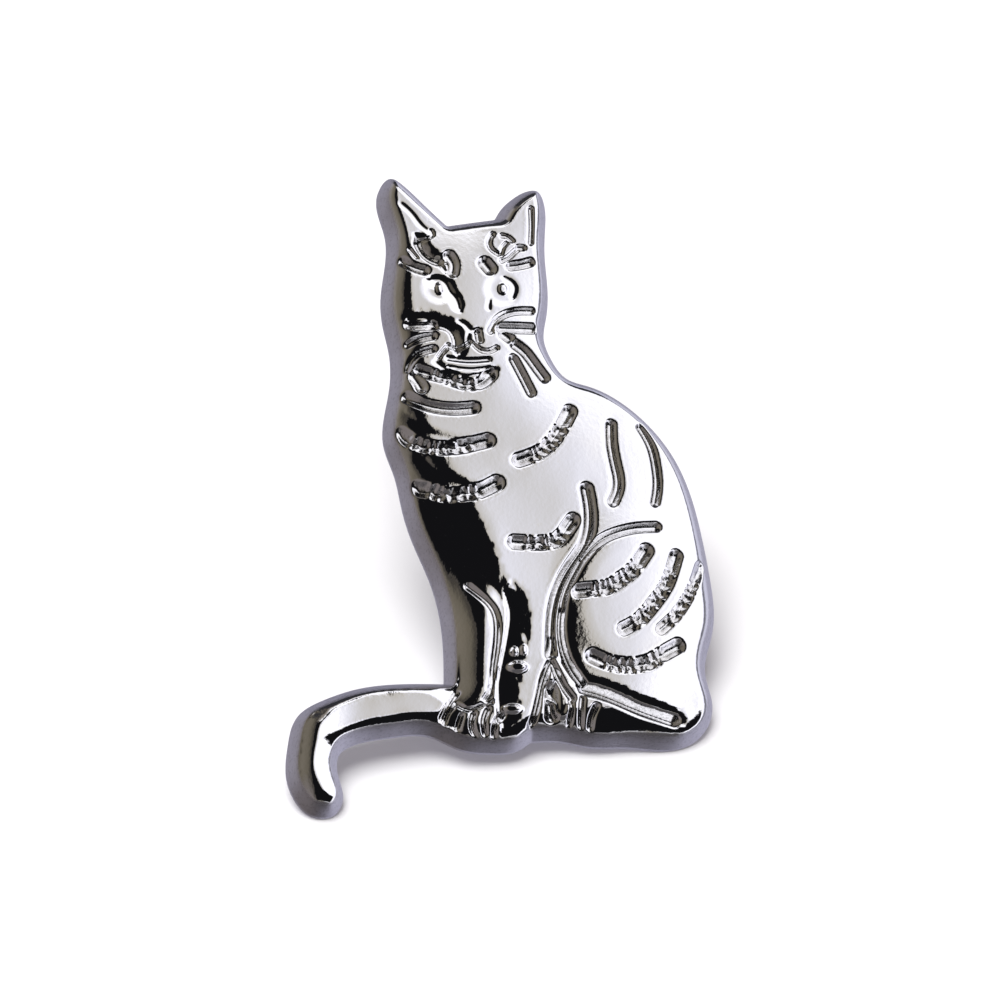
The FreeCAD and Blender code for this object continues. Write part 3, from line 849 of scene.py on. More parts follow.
    def build(self) -> bpy.types.Object:
        """Make the casting as one closed mesh with its own corner normals.

        Returns:
            The casting, linked to the scene.
        """
        loop = self.outline()
        margin = self.grid_margin * self.pitch
        grid = Grid(tuple(loop.min(axis=0) - margin), tuple(loop.max(axis=0) + margin), self.pitch)
        closed = np.concatenate((loop, loop[:1]))
        gap = np.maximum(grid.near(closed, self.reach)[0], HAIR)
        depth = np.where(grid.inside(loop), gap, -gap)
        wall_top = [self.draft * share for share in self.cut_edge]
        cut = self.cut_depth(grid) * eased(depth, *wall_top)
        lift = self.raised(grid) * eased(depth, self.draft, self.draft + self.mound_edge)
        fold = self.folded(grid) * eased(depth, self.draft, self.draft + self.fold_edge)
        height = grid.blurred(self.rolled_top(grid, depth) - fold, self.softness) + lift - cut
        stock = MeshStock()
        slant_z, slant_x = np.gradient(grid.blurred(height, self.slant_blur), grid.pitch)
        slant = np.hypot(slant_x, slant_z)
        # Folds count as sunk at a share of their depth, so they also take the painted shade,
        # roughness and grain of the cuts.
        masks = {"polish": depth, "sunk": np.maximum(cut, fold * self.fold_sunk_share), "slant": slant}
        front = FrontSheet(grid, depth, height, masks)
        rim = front.fill(stock)
        self.close_back(stock, front, rim)
        mesh = stock.mesh("cat_casting_relief")
        front.paint(mesh, stock.count, self.draft)
        piece = bpy.data.objects.new("cat_casting_relief", mesh)
        bpy.context.scene.collection.objects.link(piece)
        log.info("cat casting: %d faces", len(mesh.polygons))
        return piece

    def close_back(self, stock: MeshStock, front: "FrontSheet", rim: np.ndarray) -> None:
        """Add the edge land, the flat back and the two recesses.

        Args:
            stock: The mesh so far.
            front: The finished front sheet.
            rim: Vertex numbers round the front's edge, in order.
        """
        flat = front.flat_places[rim]
        edge = front.edge_normals[rim]
        back = stock.add_places(np.column_stack((flat[:, 0], np.zeros(len(rim)), flat[:, 1])))
        after = np.roll(np.arange(len(rim)), -1)
        side = np.column_stack((rim, back, back[after], rim[after]))
        outward = np.stack((edge, edge, edge[after], edge[after]), axis=1)
        stock.add_faces(side, outward)
        rings = [flat]
        numbers = [back]
        holes = (((0.0, 0.0), self.recess_radius, self.recess_depth, self.recess_corners),
                 (self.spur_place, self.spur_radius, self.spur_depth, self.spur_corners))
        for centre, radius, deep, count in holes:
            ring, mouth = self.recess(stock, centre, radius, deep, count)
            rings.append(ring)
            numbers.append(mouth)
        loops = [[Vector((x, z, 0.0)) for x, z in ring] for ring in rings]
        triangles = np.array(tessellate_polygon(loops))
        every_place = np.concatenate(rings)
        a, b, c = (every_place[triangles[:, k]] for k in range(3))
        (bx, bz), (cx, cz) = (b - a).T, (c - a).T
        turn = bx * cz - bz * cx
        triangles = np.where((turn > 0)[:, None], triangles[:, ::-1], triangles)
        faces = np.concatenate(numbers)[triangles]
        stock.add_faces(faces, np.tile((0.0, 1.0, 0.0), (len(faces), 3, 1)))

    def recess(self, stock: MeshStock, centre: Point, radius: float, deep: float,
               count: int) -> tuple[np.ndarray, np.ndarray]:
        """Add one round recess to the back.

        Args:
            stock: The mesh so far.
            centre: Place of its axis.
            radius: Its radius.
            deep: Its depth.
            count: Corners round it.

        Returns:
            The places of its mouth as rows of (x, z), and their vertex numbers.
        """
        turns = np.arange(count) * 2 * math.pi / count
        ring = np.column_stack((np.cos(turns), np.sin(turns))) * radius + centre
        inwards = np.column_stack((-np.cos(turns), np.zeros(count), -np.sin(turns)))
        mouth = stock.add_places(np.column_stack((ring[:, 0], np.zeros(count), ring[:, 1])))
        floor = stock.add_places(np.column_stack((ring[:, 0], np.full(count, -deep), ring[:, 1])))
        middle = stock.add_places(np.array([(centre[0], -deep, centre[1])]))
        after = np.roll(np.arange(count), -1)
        wall = np.column_stack((mouth, floor, floor[after], mouth[after]))
        stock.add_faces(wall, np.stack((inwards, inwards, inwards[after], inwards[after]), axis=1))
        fan = np.column_stack((np.full(count, middle[0]), floor[after], floor))
        stock.add_faces(fan, np.tile((0.0, 1.0, 0.0), (count, 3, 1)))
        return ring, mouth


class FrontSheet:
    """The part of a height grid inside an outline, trimmed to a smooth edge.

    TRIM keeps an edge vertex off the grid points beside it. The others name rows of values:
    the height's slopes, the slopes of the distance from the outline, and the first mask.
    """

    TRIM = (0.08, 0.92)
    HEIGHT_SLOPES = slice(3, 5)
    DEPTH_SLOPES = slice(5, 7)
    FIRST_MASK = 7

    def __init__(self, grid: Grid, depth: np.ndarray, height: np.ndarray,
                 masks: dict[str, np.ndarray]) -> None:
        """Find the sheet's vertices.

        Args:
            grid: The grid over the front.
            depth: Distance in from the outline, negative outside it.
            height: Height above the back face.
            masks: Named values that the finished mesh carries.
        """
        slope_z, slope_x = np.gradient(height, grid.pitch)
        depth_z, depth_x = np.gradient(depth, grid.pitch)
        layers = np.stack((grid.x, grid.z, height, slope_x, slope_z, depth_x, depth_z,
                           *masks.values()))
        self.mask_names = list(masks)
        keep = depth > 0
        self.inner = np.full(depth.shape, -1)
        self.inner[keep] = np.arange(keep.sum())
        values = [layers[:, keep]]
        count = int(keep.sum())
        self.crossings = []
        for axis in (1, 0):
            near = [slice(None), slice(None)]
            far = [slice(None), slice(None)]
            near[axis], far[axis] = slice(0, -1), slice(1, None)
            near, far = tuple(near), tuple(far)
            crossed = keep[near] != keep[far]
            share = depth[near][crossed] / (depth[near][crossed] - depth[far][crossed])
            share = np.clip(share, *self.TRIM)
            first = layers[(slice(None), *near)][:, crossed]
            second = layers[(slice(None), *far)][:, crossed]
            values.append(first + (second - first) * share)
            numbers = np.full(crossed.shape, -1)
            numbers[crossed] = count + np.arange(crossed.sum())
            count += int(crossed.sum())
            self.crossings.append(numbers)
        self.values = np.concatenate(values, axis=1)
        self.flat_places = self.values[:2].T
        edge = -self.values[self.DEPTH_SLOPES].T
        edge /= np.linalg.norm(edge, axis=1)[:, None] + 1e-12
        self.edge_normals = np.column_stack((edge[:, 0], np.zeros(len(edge)), edge[:, 1]))
        slope_x, slope_z = self.values[self.HEIGHT_SLOPES]
        tilt = np.column_stack((-slope_x, -np.ones(count), -slope_z))
        self.top_normals = tilt / np.linalg.norm(tilt, axis=1)[:, None]

    def fill(self, stock: MeshStock) -> np.ndarray:
        """Add the sheet to the mesh.

        Args:
            stock: The mesh to add to, still empty.

        Returns:
            Vertex numbers round the sheet's edge, in order.
        """
        x, z, height = self.values[:3]
        stock.add_places(np.column_stack((x, -height, z)))
        along, across = self.crossings
        inner = (self.inner[:-1, :-1], self.inner[:-1, 1:], self.inner[1:, 1:], self.inner[1:, :-1])
        crossing = (along[:-1, :], across[:, 1:], along[1:, :], across[:, :-1])
        kept = [numbers >= 0 for numbers in inner]
        code = sum(k.astype(int) << bit for bit, k in enumerate(kept))
        following = {}
        for case in range(1, 16):
            cells = code == case
            if not cells.any():
                continue
            columns = []
            leaving = []
            entering = []
            for corner in range(4):
                here = case >> corner & 1
                ahead = case >> (corner + 1) % 4 & 1
                if here:
                    columns.append(inner[corner][cells])
                if here != ahead:
                    columns.append(crossing[corner][cells])
                    (leaving if here else entering).append((len(columns) - 1, columns[-1]))
            faces = np.column_stack(columns)
            stock.add_faces(faces, self.top_normals[faces])
            for position, start in leaving:
                ends = {p: e for p, e in entering}
                next_position = min(ends, key=lambda p: (p - position) % len(columns))
                following.update(zip(start.tolist(), ends[next_position].tolist()))
        first = next(iter(following))
        rim = [first]
        while following[rim[-1]] != first:
            rim.append(following[rim[-1]])
        log.info("casting's edge: %d of %d places in one loop", len(rim), len(following))
        return np.array(rim)

    def paint(self, mesh: bpy.types.Mesh, count: int, draft: float) -> None:
        """Store how polished, how sunk and how sloping each vertex is.

        Args:
            mesh: The finished mesh, whose first vertices are this sheet's.
            count: How many vertices the mesh has.
            draft: Width of the satin side wall.
        """
        # Where each mask starts and where it is full: two distances in mm and a slope.
        limits = {"polish": (draft - 0.07, draft + 0.03), "sunk": (0.04, 0.16),
                  "slant": (0.03, 0.15)}
        for row, name in enumerate(self.mask_names, start=self.FIRST_MASK):
            values = eased(self.values[row], *limits[name])
            full = np.zeros(count, np.float32)
            full[:len(values)] = values
            layer = mesh.attributes.new(name, "FLOAT", "POINT")
            layer.data.foreach_set("value", full)


Input = float | tuple | bpy.types.NodeSocket


class Bench:
    """Places and joins nodes in one tree."""

    def __init__(self, tree: bpy.types.NodeTree) -> None:
        """Start on an empty tree."""
        self.tree = tree
        tree.nodes.clear()

    def feed(self, socket: bpy.types.NodeSocket, value: Input) -> None:
        """Link an output to an input, or set the input's own value.

        Args:
            socket: The input.
            value: The output or the value.
        """
        if isinstance(value, bpy.types.NodeSocket):
            self.tree.links.new(value, socket)
        else:
            socket.default_value = value

    def node(self, kind: str, inputs: dict[str | int, Input] | None = None,
             **settings: str | bool | int) -> bpy.types.Node:
        """Place a node.

        Args:
            kind: The node's type.
            inputs: Values or sockets for its inputs, by name or number.
            **settings: Its own options.

        Returns:
            The node.
        """
        made = self.tree.nodes.new(kind)
        for name, value in settings.items():
            setattr(made, name, value)
        for name, value in (inputs or {}).items():
            self.feed(made.inputs[name], value)
        return made

    def math(self, operation: str, *values: Input) -> bpy.types.NodeSocket:
        """The result of a Math node on up to three values."""
        return self.node("ShaderNodeMath", dict(enumerate(values)), operation=operation).outputs[0]

    def ramp(self, value: Input, low: float, high: float, to_low: float = 0.0,
             to_high: float = 1.0) -> bpy.types.NodeSocket:
        """Turn a value into a smooth step.

        Args:
            value: The value.
            low: Where the step starts.
            high: Where it ends.
            to_low: The result at low.
            to_high: The result at high.

        Returns:
            The step's result.
        """
        inputs = {"Value": value, "From Min": low, "From Max": high, "To Min": to_low,
                  "To Max": to_high}
        return self.node("ShaderNodeMapRange", inputs, interpolation_type="SMOOTHSTEP").outputs[0]

    def blend(self, share: Input, first: Input, second: Input) -> bpy.types.NodeSocket:
        """Mix two colours.

        Args:
            share: How much of the second one.
            first: The first colour.
            second: The second colour.

        Returns:
            The mixed colour.
        """
        # The node's colour sockets share their names with others, so they go by number.
        made = self.node("ShaderNodeMix", {0: share, 6: first, 7: second}, data_type="RGBA")
        return made.outputs[2]

    def noise(self, place: Input, scale: float, detail: float = 2.0,
              roughness: float = 0.5) -> bpy.types.NodeSocket:
        """A noise value over a place, with scale in waves for each millimetre."""
        inputs = {"Vector": place, "Scale": scale / MM, "Detail": detail, "Roughness": roughness}
        return self.node("ShaderNodeTexNoise", inputs).outputs[0]

    def bump(self, shader: bpy.types.Node, height: Input) -> None:
        """Tilt a shader's normal by a height in mm."""
        bump = self.node("ShaderNodeBump", {"Height": height, "Distance": MM, "Strength": 1.0})
        self.feed(shader.inputs["Normal"], bump.outputs[0])


@dataclass(frozen=True)
class Effect:
    """A shared shader node group: its name and how to fill it."""

    name: str
    inputs: tuple[tuple[str, float], ...]
    output: str

    def group(self) -> bpy.types.ShaderNodeTree:
        """Find the node group, and build it the first time it is asked for.

        Returns:
            The node group.
        """
        found = bpy.data.node_groups.get(self.name)
        if found:
            return found
        tree = bpy.data.node_groups.new(self.name, "ShaderNodeTree")
        for name, value in self.inputs:
            made = tree.interface.new_socket(name, in_out="INPUT", socket_type="NodeSocketFloat")
            made.default_value = value
        tree.interface.new_socket(self.output, in_out="OUTPUT", socket_type="NodeSocketFloat")
        bench = Bench(tree)
        given = bench.node("NodeGroupInput")
        place = bench.node("ShaderNodeTexCoord").outputs["Object"]
        result = self.fill(bench, place, given.outputs)
        bench.feed(bench.node("NodeGroupOutput").inputs[0], result)
        return tree

    def fill(self, bench: Bench, place: bpy.types.NodeSocket,
             given: bpy.types.NodeOutputs) -> bpy.types.NodeSocket:
        """Build the effect's nodes and return its result."""
        raise NotImplementedError

    def use(self, bench: Bench, **values: Input) -> bpy.types.NodeSocket:
        """Place the group in a material.

        Args:
            bench: The material's bench.
            **values: The group's inputs, by name.

        Returns:
            The group's result.
        """
        made = bench.node("ShaderNodeGroup")
        made.node_tree = self.group()
        for name, value in values.items():
            bench.feed(made.inputs[name], value)
        return made.outputs[0]


class OrangePeel(Effect):
    """Slow waves left in plating by polishing, in mm."""

    def fill(self, bench: Bench, place: bpy.types.NodeSocket,
             given: bpy.types.NodeOutputs) -> bpy.types.NodeSocket:
        """Two sizes of soft waves added together.

        Args:
            bench: Where the nodes go.
            place: Where on the piece, in its own coordinates.
            given: The group's inputs.

        Returns:
            The waves' height, in mm.
        """
        wide = bench.noise(place, scale=0.45, detail=1.0)
        fine = bench.noise(place, scale=5.0, detail=2.0)
        waves = bench.math("MULTIPLY", wide, given["Wide"])
        ripple = bench.math("MULTIPLY", fine, given["Fine"])
        return bench.math("ADD", waves, ripple)


class Grain(Effect):
    """Fine pits of a cast or brushed surface, in mm."""

    def fill(self, bench: Bench, place: bpy.types.NodeSocket,
             given: bpy.types.NodeOutputs) -> bpy.types.NodeSocket:
        """Fine noise, with its lowest places deepened to pits.

        Args:
            bench: Where the nodes go.
            place: Where on the piece, in its own coordinates.
            given: The group's inputs.

        Returns:
            The grain's height, in mm.
        """
        fine = bench.noise(place, scale=14.0, detail=3.0, roughness=0.6)
        pits = bench.ramp(bench.noise(place, scale=7.0, detail=1.0), low=0.30, high=0.20)
        total = bench.math("SUBTRACT", fine, pits)
        return bench.math("MULTIPLY", total, given["Height"])


class TurningRings(Effect):
    """Fine rings that a lathe leaves round the post's axis, in mm."""

    def fill(self, bench: Bench, place: bpy.types.NodeSocket,
             given: bpy.types.NodeOutputs) -> bpy.types.NodeSocket:
        """Noise that changes only with radius and depth.

        Args:
            bench: Where the nodes go.
            place: Where on the piece, in its own coordinates.
            given: The group's inputs.

        Returns:
            The rings' height, in mm.
        """
        split = bench.node("ShaderNodeSeparateXYZ", {0: place}).outputs
        flat = bench.node("ShaderNodeVectorMath", {0: place, 1: (1.0, 0.0, 1.0)},
                          operation="MULTIPLY").outputs[0]
        radius = bench.node("ShaderNodeVectorMath", {0: flat}, operation="LENGTH").outputs["Value"]
        ring_place = bench.node("ShaderNodeCombineXYZ", {0: radius, 1: split[1]}).outputs[0]
        rings = bench.noise(ring_place, scale=9.0, detail=3.0, roughness=0.7)
        return bench.math("MULTIPLY", rings, given["Height"])


class Speckle(Effect):
    """Small dark specks over a softer cloud, from 0 to 1; on the casting, their amount in the cuts
    and folds is painted shade.
    """

    def fill(self, bench: Bench, place: bpy.types.NodeSocket,
             given: bpy.types.NodeOutputs) -> bpy.types.NodeSocket:
        """Fine noise cut to specks, over a softer cloud.

        Args:
            bench: Where the nodes go.
            place: Where on the piece, in its own coordinates.
            given: The group's inputs.

        Returns:
            The mask, from 0 to 1.
        """
        specks = bench.ramp(bench.noise(place, scale=6.5, detail=3.0, roughness=0.65),
                            low=0.50, high=0.68)
        cloud = bench.ramp(bench.noise(place, scale=1.6, detail=3.0), low=0.35, high=0.70)
        both = bench.math("ADD", bench.math("MULTIPLY", cloud, 0.35), specks)
        return bench.math("MULTIPLY", both, given["Amount"])


class Handling(Effect):
    """Where fingers and wear have dulled a bright surface, from 0 to 1."""

    def fill(self, bench: Bench, place: bpy.types.NodeSocket,
             given: bpy.types.NodeOutputs) -> bpy.types.NodeSocket:
        """Soft blotches with thin scuffs over them.

        Args:
            bench: Where the nodes go.
            place: Where on the piece, in its own coordinates.
            given: The group's inputs.

        Returns:
            The mask, from 0 to 1.
        """
        blotch = bench.ramp(bench.noise(place, scale=0.35, detail=3.0), low=0.45, high=0.75)
        stretched = bench.node("ShaderNodeMapping", {0: place, "Rotation": (0.3, 0.5, 0.9),
                                                     "Scale": (1.0, 9.0, 1.0)}).outputs[0]
        scuff = bench.ramp(bench.noise(stretched, scale=1.6, detail=4.0, roughness=0.7),
                           low=0.62, high=0.72)
        both = bench.math("ADD", bench.math("MULTIPLY", blotch, 0.6), scuff)
        return bench.math("MULTIPLY", both, given["Amount"])


ORANGE_PEEL = OrangePeel("orange_peel", (("Wide", 0.003), ("Fine", 0.0003)), "Height")
GRAIN = Grain("cast_grain", (("Height", 0.004),), "Height")
TURNING_RINGS = TurningRings("turning_rings", (("Height", 0.002),), "Height")
SPECKLE = Speckle("speckle", (("Amount", 0.5),), "Mask")
HANDLING = Handling("handling", (("Amount", 0.5),), "Mask")


@dataclass(frozen=True)
class Finish:
    """A bare metal finish: colours, roughness and how strong each shared effect is."""

    name: str
    colour: Colour
    worn_colour: Colour
    roughness: float
    worn_roughness: float
    rings: float = 0.0
    grain: float = 0.0
    peel: float = 0.0
    wear: float = 0.5

    def material(self) -> bpy.types.Material:
        """Find the finish's material, and build it the first time it is asked for.

        Returns:
            The material.
        """
        found = bpy.data.materials.get(self.name)
        if found:
            return found
        made = bpy.data.materials.new(self.name)
        made.use_nodes = True
        bench = Bench(made.node_tree)
        shader = bench.node("ShaderNodeBsdfPrincipled", {"Metallic": 1.0})
        self.dress(bench, shader)
        output = bench.node("ShaderNodeOutputMaterial")
        bench.feed(output.inputs["Surface"], shader.outputs[0])
        return made

    def dress(self, bench: Bench, shader: bpy.types.Node) -> None:
        """Feed the shader's colour, roughness and normal.

        Args:
            bench: The material's bench.
            shader: Its shader.
        """
        mask = HANDLING.use(bench, Amount=self.wear)
        colour = bench.blend(mask, (*self.colour, 1.0), (*self.worn_colour, 1.0))
        bench.feed(shader.inputs["Base Color"], colour)
        rough = bench.ramp(mask, 0.0, 1.0, self.roughness, self.worn_roughness)
        bench.feed(shader.inputs["Roughness"], rough)
        height = bench.math("ADD", TURNING_RINGS.use(bench, Height=self.rings),
                            GRAIN.use(bench, Height=self.grain))
        height = bench.math("ADD", height, ORANGE_PEEL.use(bench, Wide=self.peel, Fine=0.0))
        bench.bump(shader, height)


@dataclass(frozen=True)
class CastFinish(Finish):
    """Plating that is mirror bright on top of the casting and satin on its wall and back, with
    painted shade darkening its cuts and folds.
    """

    satin_colour: Colour = (0.72, 0.70, 0.74)
    satin_roughness: float = 0.42
    ripple: float = 0.0018
    slope_ripple: float = 0.0045
    sunk_roughness: float = 0.08
    # The cuts and folds take painted shade, darkened towards dark by how sunk they are; the satin
    # wall and back are speckled darker by a smaller share.
    sunk_shade: float = 0.34
    satin_specks: float = 0.22
    sunk_grain: float = 0.8
    dark: Colour = (0.16, 0.15, 0.14)

    def dress(self, bench: Bench, shader: bpy.types.Node) -> None:
        """Feed the shader from the casting's own polish, depth and slope values.

        Args:
            bench: The material's bench.
            shader: Its shader.
        """
        polish, sunk, slant = (
            bench.node("ShaderNodeAttribute", attribute_name=name).outputs["Fac"]
            for name in ("polish", "sunk", "slant"))
        matt = bench.math("SUBTRACT", 1.0, polish)
        mask = HANDLING.use(bench, Amount=self.wear)
        bright = bench.blend(mask, (*self.colour, 1.0), (*self.worn_colour, 1.0))
        colour = bench.blend(polish, (*self.satin_colour, 1.0), bright)
        # Painted shade in the cuts and folds, by how sunk they are, plus a lighter speckling of the
        # satin wall and back, both darkened towards dark through the speckle mask.
        shade_and_specks = bench.math("ADD", bench.math("MULTIPLY", sunk, self.sunk_shade),
                           bench.math("MULTIPLY", matt, self.satin_specks))
        colour = bench.blend(SPECKLE.use(bench, Amount=shade_and_specks), colour, (*self.dark, 1.0))
        bench.feed(shader.inputs["Base Color"], colour)
        worn = bench.ramp(mask, 0.0, 1.0, self.roughness, self.worn_roughness)
        low = bench.math("MULTIPLY", sunk, self.sunk_roughness)
        top = bench.math("ADD", worn, low)
        share = bench.math("MULTIPLY", polish, bench.math("SUBTRACT", top, self.satin_roughness))
        bench.feed(shader.inputs["Roughness"], bench.math("ADD", share, self.satin_roughness))
        rough = bench.math("ADD", matt, bench.math("MULTIPLY", sunk, self.sunk_grain))
        grain = bench.math("MULTIPLY", GRAIN.use(bench, Height=self.grain), rough)
        fine = bench.math("MULTIPLY_ADD", slant, self.slope_ripple, self.ripple)
        peel = ORANGE_PEEL.use(bench, Wide=self.peel, Fine=fine)
        bench.bump(shader, bench.math("ADD", grain, peel))


SILVER_PLATE = CastFinish("silver_plate_finish", (0.95, 0.945, 0.95), (0.95, 0.915, 0.85),
                          0.03, 0.07, grain=0.008, peel=0.016, wear=0.5)
NICKEL_PLATE = Finish("nickel_plate_finish", (0.78, 0.76, 0.72), (0.70, 0.67, 0.62),
                      0.14, 0.30, rings=0.0015, grain=0.0004)
PLATED_STEEL = Finish("plated_steel_finish", (0.74, 0.73, 0.71), (0.62, 0.60, 0.57),
                      0.18, 0.34, rings=0.001, grain=0.0008)
BRAZE = Finish("braze_finish", (0.70, 0.64, 0.52), (0.52, 0.45, 0.35), 0.36, 0.55,
               grain=0.006, peel=0.006)
BRASS_TUBE = Finish("brass_tube_finish", (0.80, 0.62, 0.30), (0.62, 0.45, 0.20), 0.22, 0.40,
                    rings=0.001)
SPRING_STEEL = Finish("spring_steel_finish", (0.55, 0.54, 0.53), (0.42, 0.40, 0.38), 0.24, 0.42,
                      grain=0.001)
BALL_STEEL = Finish("ball_steel_finish", (0.80, 0.80, 0.81), (0.72, 0.71, 0.70), 0.06, 0.14)

NODE_FINISHES = {
    "post": PLATED_STEEL,
    "anti_turn_spur": PLATED_STEEL,
    "braze_ring": BRAZE,
    "clutch_housing": NICKEL_PLATE,
    "closing_washer": NICKEL_PLATE,
    "clutch_knob": NICKEL_PLATE,
    "ball_cage": BRASS_TUBE,
    "lock_ball_1": BALL_STEEL,
    "lock_ball_2": BALL_STEEL,
    "lock_ball_3": BALL_STEEL,
}


class Builder(Bench):
    """Builds one Geometry Nodes tree and turns its result into a plain mesh."""

    def __init__(self, name: str, sizes: dict[str, float | int]) -> None:
        """Start a tree with named inputs.

        Args:
            name: The tree's name and the finished piece's name.
            sizes: Its inputs and the values the piece has.
        """
        tree = bpy.data.node_groups.new(name, "GeometryNodeTree")
        super().__init__(tree)
        self.name = name
        self.sizes = sizes
        for label, value in sizes.items():
            kind = "NodeSocketInt" if isinstance(value, int) else "NodeSocketFloat"
            tree.interface.new_socket(label, in_out="INPUT", socket_type=kind)
        tree.interface.new_socket("Geometry", in_out="OUTPUT", socket_type="NodeSocketGeometry")
        self.given = self.node("NodeGroupInput").outputs

    def piece(self, shape: bpy.types.NodeSocket, finish: Finish) -> bpy.types.Object:
        """Finish the tree, run it and keep its result as a plain mesh object.

        Args:
            shape: The geometry made so far.
            finish: The finish its faces take.

        Returns:
            The finished piece, linked to the scene.
        """
        whole = self.node("GeometryNodeRealizeInstances", {0: shape}).outputs[0]
        smooth = self.node("GeometryNodeSetShadeSmooth", {0: whole}).outputs[0]
        dressed = self.node("GeometryNodeSetMaterial", {0: smooth, "Material": finish.material()})
        self.feed(self.node("NodeGroupOutput").inputs[0], dressed.outputs[0])
        carrier = bpy.data.objects.new(self.name + "_carrier", bpy.data.meshes.new(self.name))
        bpy.context.scene.collection.objects.link(carrier)
        modifier = carrier.modifiers.new("build", "NODES")
        modifier.node_group = self.tree
        for item in self.tree.interface.items_tree:
            if item.in_out == "INPUT":
                modifier[item.identifier] = self.sizes[item.name]
        graph = bpy.context.evaluated_depsgraph_get()
        mesh = bpy.data.meshes.new_from_object(carrier.evaluated_get(graph))
        mesh.name = self.name
        carrier.modifiers.remove(modifier)
        bpy.data.objects.remove(carrier)
        made = bpy.data.objects.new(self.name, mesh)
        bpy.context.scene.collection.objects.link(made)
        log.info("%s: %d faces", self.name, len(mesh.polygons))
        return made


@dataclass
class ClutchSpring:
    """Coil spring with half a closed turn at each end, between the collar and the washer."""

    front: float = 4.62
    back: float = 6.28
    radius: float = 1.32
    wire_radius: float = 0.09
    active_turns: float = 2.0
    closed_turns: float = 0.5
    travel: float = 0.9
    steps: int = 240
    wire_corners: int = 12

    def build(self) -> bpy.types.Object:
        """Sweep a round wire along the coil.

        Returns:
            The coil.
        """
        closed_rise = 2 * self.closed_turns * 2 * self.wire_radius
        room = self.back - self.front - 2 * self.wire_radius
        pitch = (room - closed_rise) / self.active_turns
        nodes = Builder("clutch_coil", {
            "Coil Radius": self.radius * MM,
            "Wire Radius": self.wire_radius * MM,
            "Active Turns": self.active_turns,
            "Closed Turns": self.closed_turns,
            "Pitch": pitch * MM,
            "Front": (self.front + self.wire_radius) * MM,
            "Steps": self.steps,
        })
        given = nodes.given
        line = nodes.node("GeometryNodeCurvePrimitiveLine").outputs[0]
        line = nodes.node("GeometryNodeResampleCurve",
                          {0: line, "Count": given["Steps"]}).outputs[0]
        share = nodes.node("GeometryNodeSplineParameter").outputs["Factor"]
        ends = nodes.math("MULTIPLY", given["Closed Turns"], 2.0)
        turns = nodes.math("MULTIPLY", share, nodes.math("ADD", given["Active Turns"], ends))
        angle = nodes.math("MULTIPLY", turns, 2 * math.pi)
        closed = nodes.math("MULTIPLY", given["Wire Radius"], 2.0)
        first = nodes.math("MINIMUM", turns, given["Closed Turns"])
        first = nodes.math("MULTIPLY", first, closed)
        middle = nodes.math("SUBTRACT", turns, given["Closed Turns"])
        middle = nodes.math("MAXIMUM", middle, 0.0)
        middle = nodes.math("MINIMUM", middle, given["Active Turns"])
        middle = nodes.math("MULTIPLY", middle, given["Pitch"])
        before_last = nodes.math("ADD", given["Active Turns"], given["Closed Turns"])
        last = nodes.math("SUBTRACT", turns, before_last)
        last = nodes.math("MULTIPLY", nodes.math("MAXIMUM", last, 0.0), closed)
        rise = nodes.math("ADD", nodes.math("ADD", first, middle), last)
        place = nodes.node("ShaderNodeCombineXYZ", {
            0: nodes.math("MULTIPLY", nodes.math("COSINE", angle), given["Coil Radius"]),
            1: nodes.math("ADD", rise, given["Front"]),
            2: nodes.math("MULTIPLY", nodes.math("SINE", angle), given["Coil Radius"]),
        }).outputs[0]
        coil = nodes.node("GeometryNodeSetPosition", {0: line, "Position": place}).outputs[0]
        ring = nodes.node("GeometryNodeCurvePrimitiveCircle",
                          {"Resolution": self.wire_corners,
                           "Radius": given["Wire Radius"]}).outputs[0]
        wire = nodes.node("GeometryNodeCurveToMesh",
                          {"Curve": coil, "Profile Curve": ring, "Fill Caps": True}).outputs[0]
        return nodes.piece(wire, SPRING_STEEL)

    def fit(self, piece: bpy.types.Object) -> None:
        """Attach the coil to the clutch and give it a mesh of its own.

        Args:
            piece: The coil.
        """
        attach(piece, "clutch")
        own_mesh(piece)


@dataclass
class KnobGrip:
    """Rounded grip ribs round the pull knob's rim."""

    radius: float = 3.76
    middle: float = 7.525
    rib_half_width: float = 0.11
    rib_half_length: float = 0.42
    count: int = 40
    rib_segments: int = 10
    rib_rings: int = 8

    def build(self) -> bpy.types.Object:
        """Stand one rib on each corner of a ring round the knob.

        Returns:
            The ribs, as one piece.
        """
        nodes = Builder("knob_grip_ribs", {
            "Radius": self.radius * MM,
            "Middle": self.middle * MM,
            "Half Width": self.rib_half_width * MM,
            "Half Length": self.rib_half_length * MM,
            "Count": self.count,
        })
        given = nodes.given
        ring = nodes.node("GeometryNodeMeshCircle",
                          {"Vertices": given["Count"], "Radius": given["Radius"]}).outputs[0]
        rib = nodes.node("GeometryNodeMeshUVSphere", {
            "Segments": self.rib_segments, "Rings": self.rib_rings, "Radius": 1.0}).outputs[0]
        size = nodes.node("ShaderNodeCombineXYZ", {
            0: given["Half Width"], 1: given["Half Width"], 2: given["Half Length"]}).outputs[0]
        ribs = nodes.node("GeometryNodeInstanceOnPoints",
                          {"Points": ring, "Instance": rib, "Scale": size}).outputs[0]
        shift = nodes.node("ShaderNodeCombineXYZ", {1: given["Middle"]}).outputs[0]
        whole = nodes.node("GeometryNodeRealizeInstances", {0: ribs}).outputs[0]
        turned = nodes.node("GeometryNodeTransform", {
            0: whole, "Translation": shift, "Rotation": (math.pi / 2, 0.0, 0.0)}).outputs[0]
        return nodes.piece(turned, NICKEL_PLATE)


@dataclass(frozen=True)
class LightPanel:
    """One dark or light card round the pin, by the directions it fills, in degrees.

    Azimuth 0 is straight in front of the cat's face and grows towards its right edge in +X.
    """

    name: str
    azimuth: tuple[float, float]
    height: tuple[float, float]
    soft: float
    colour: Colour


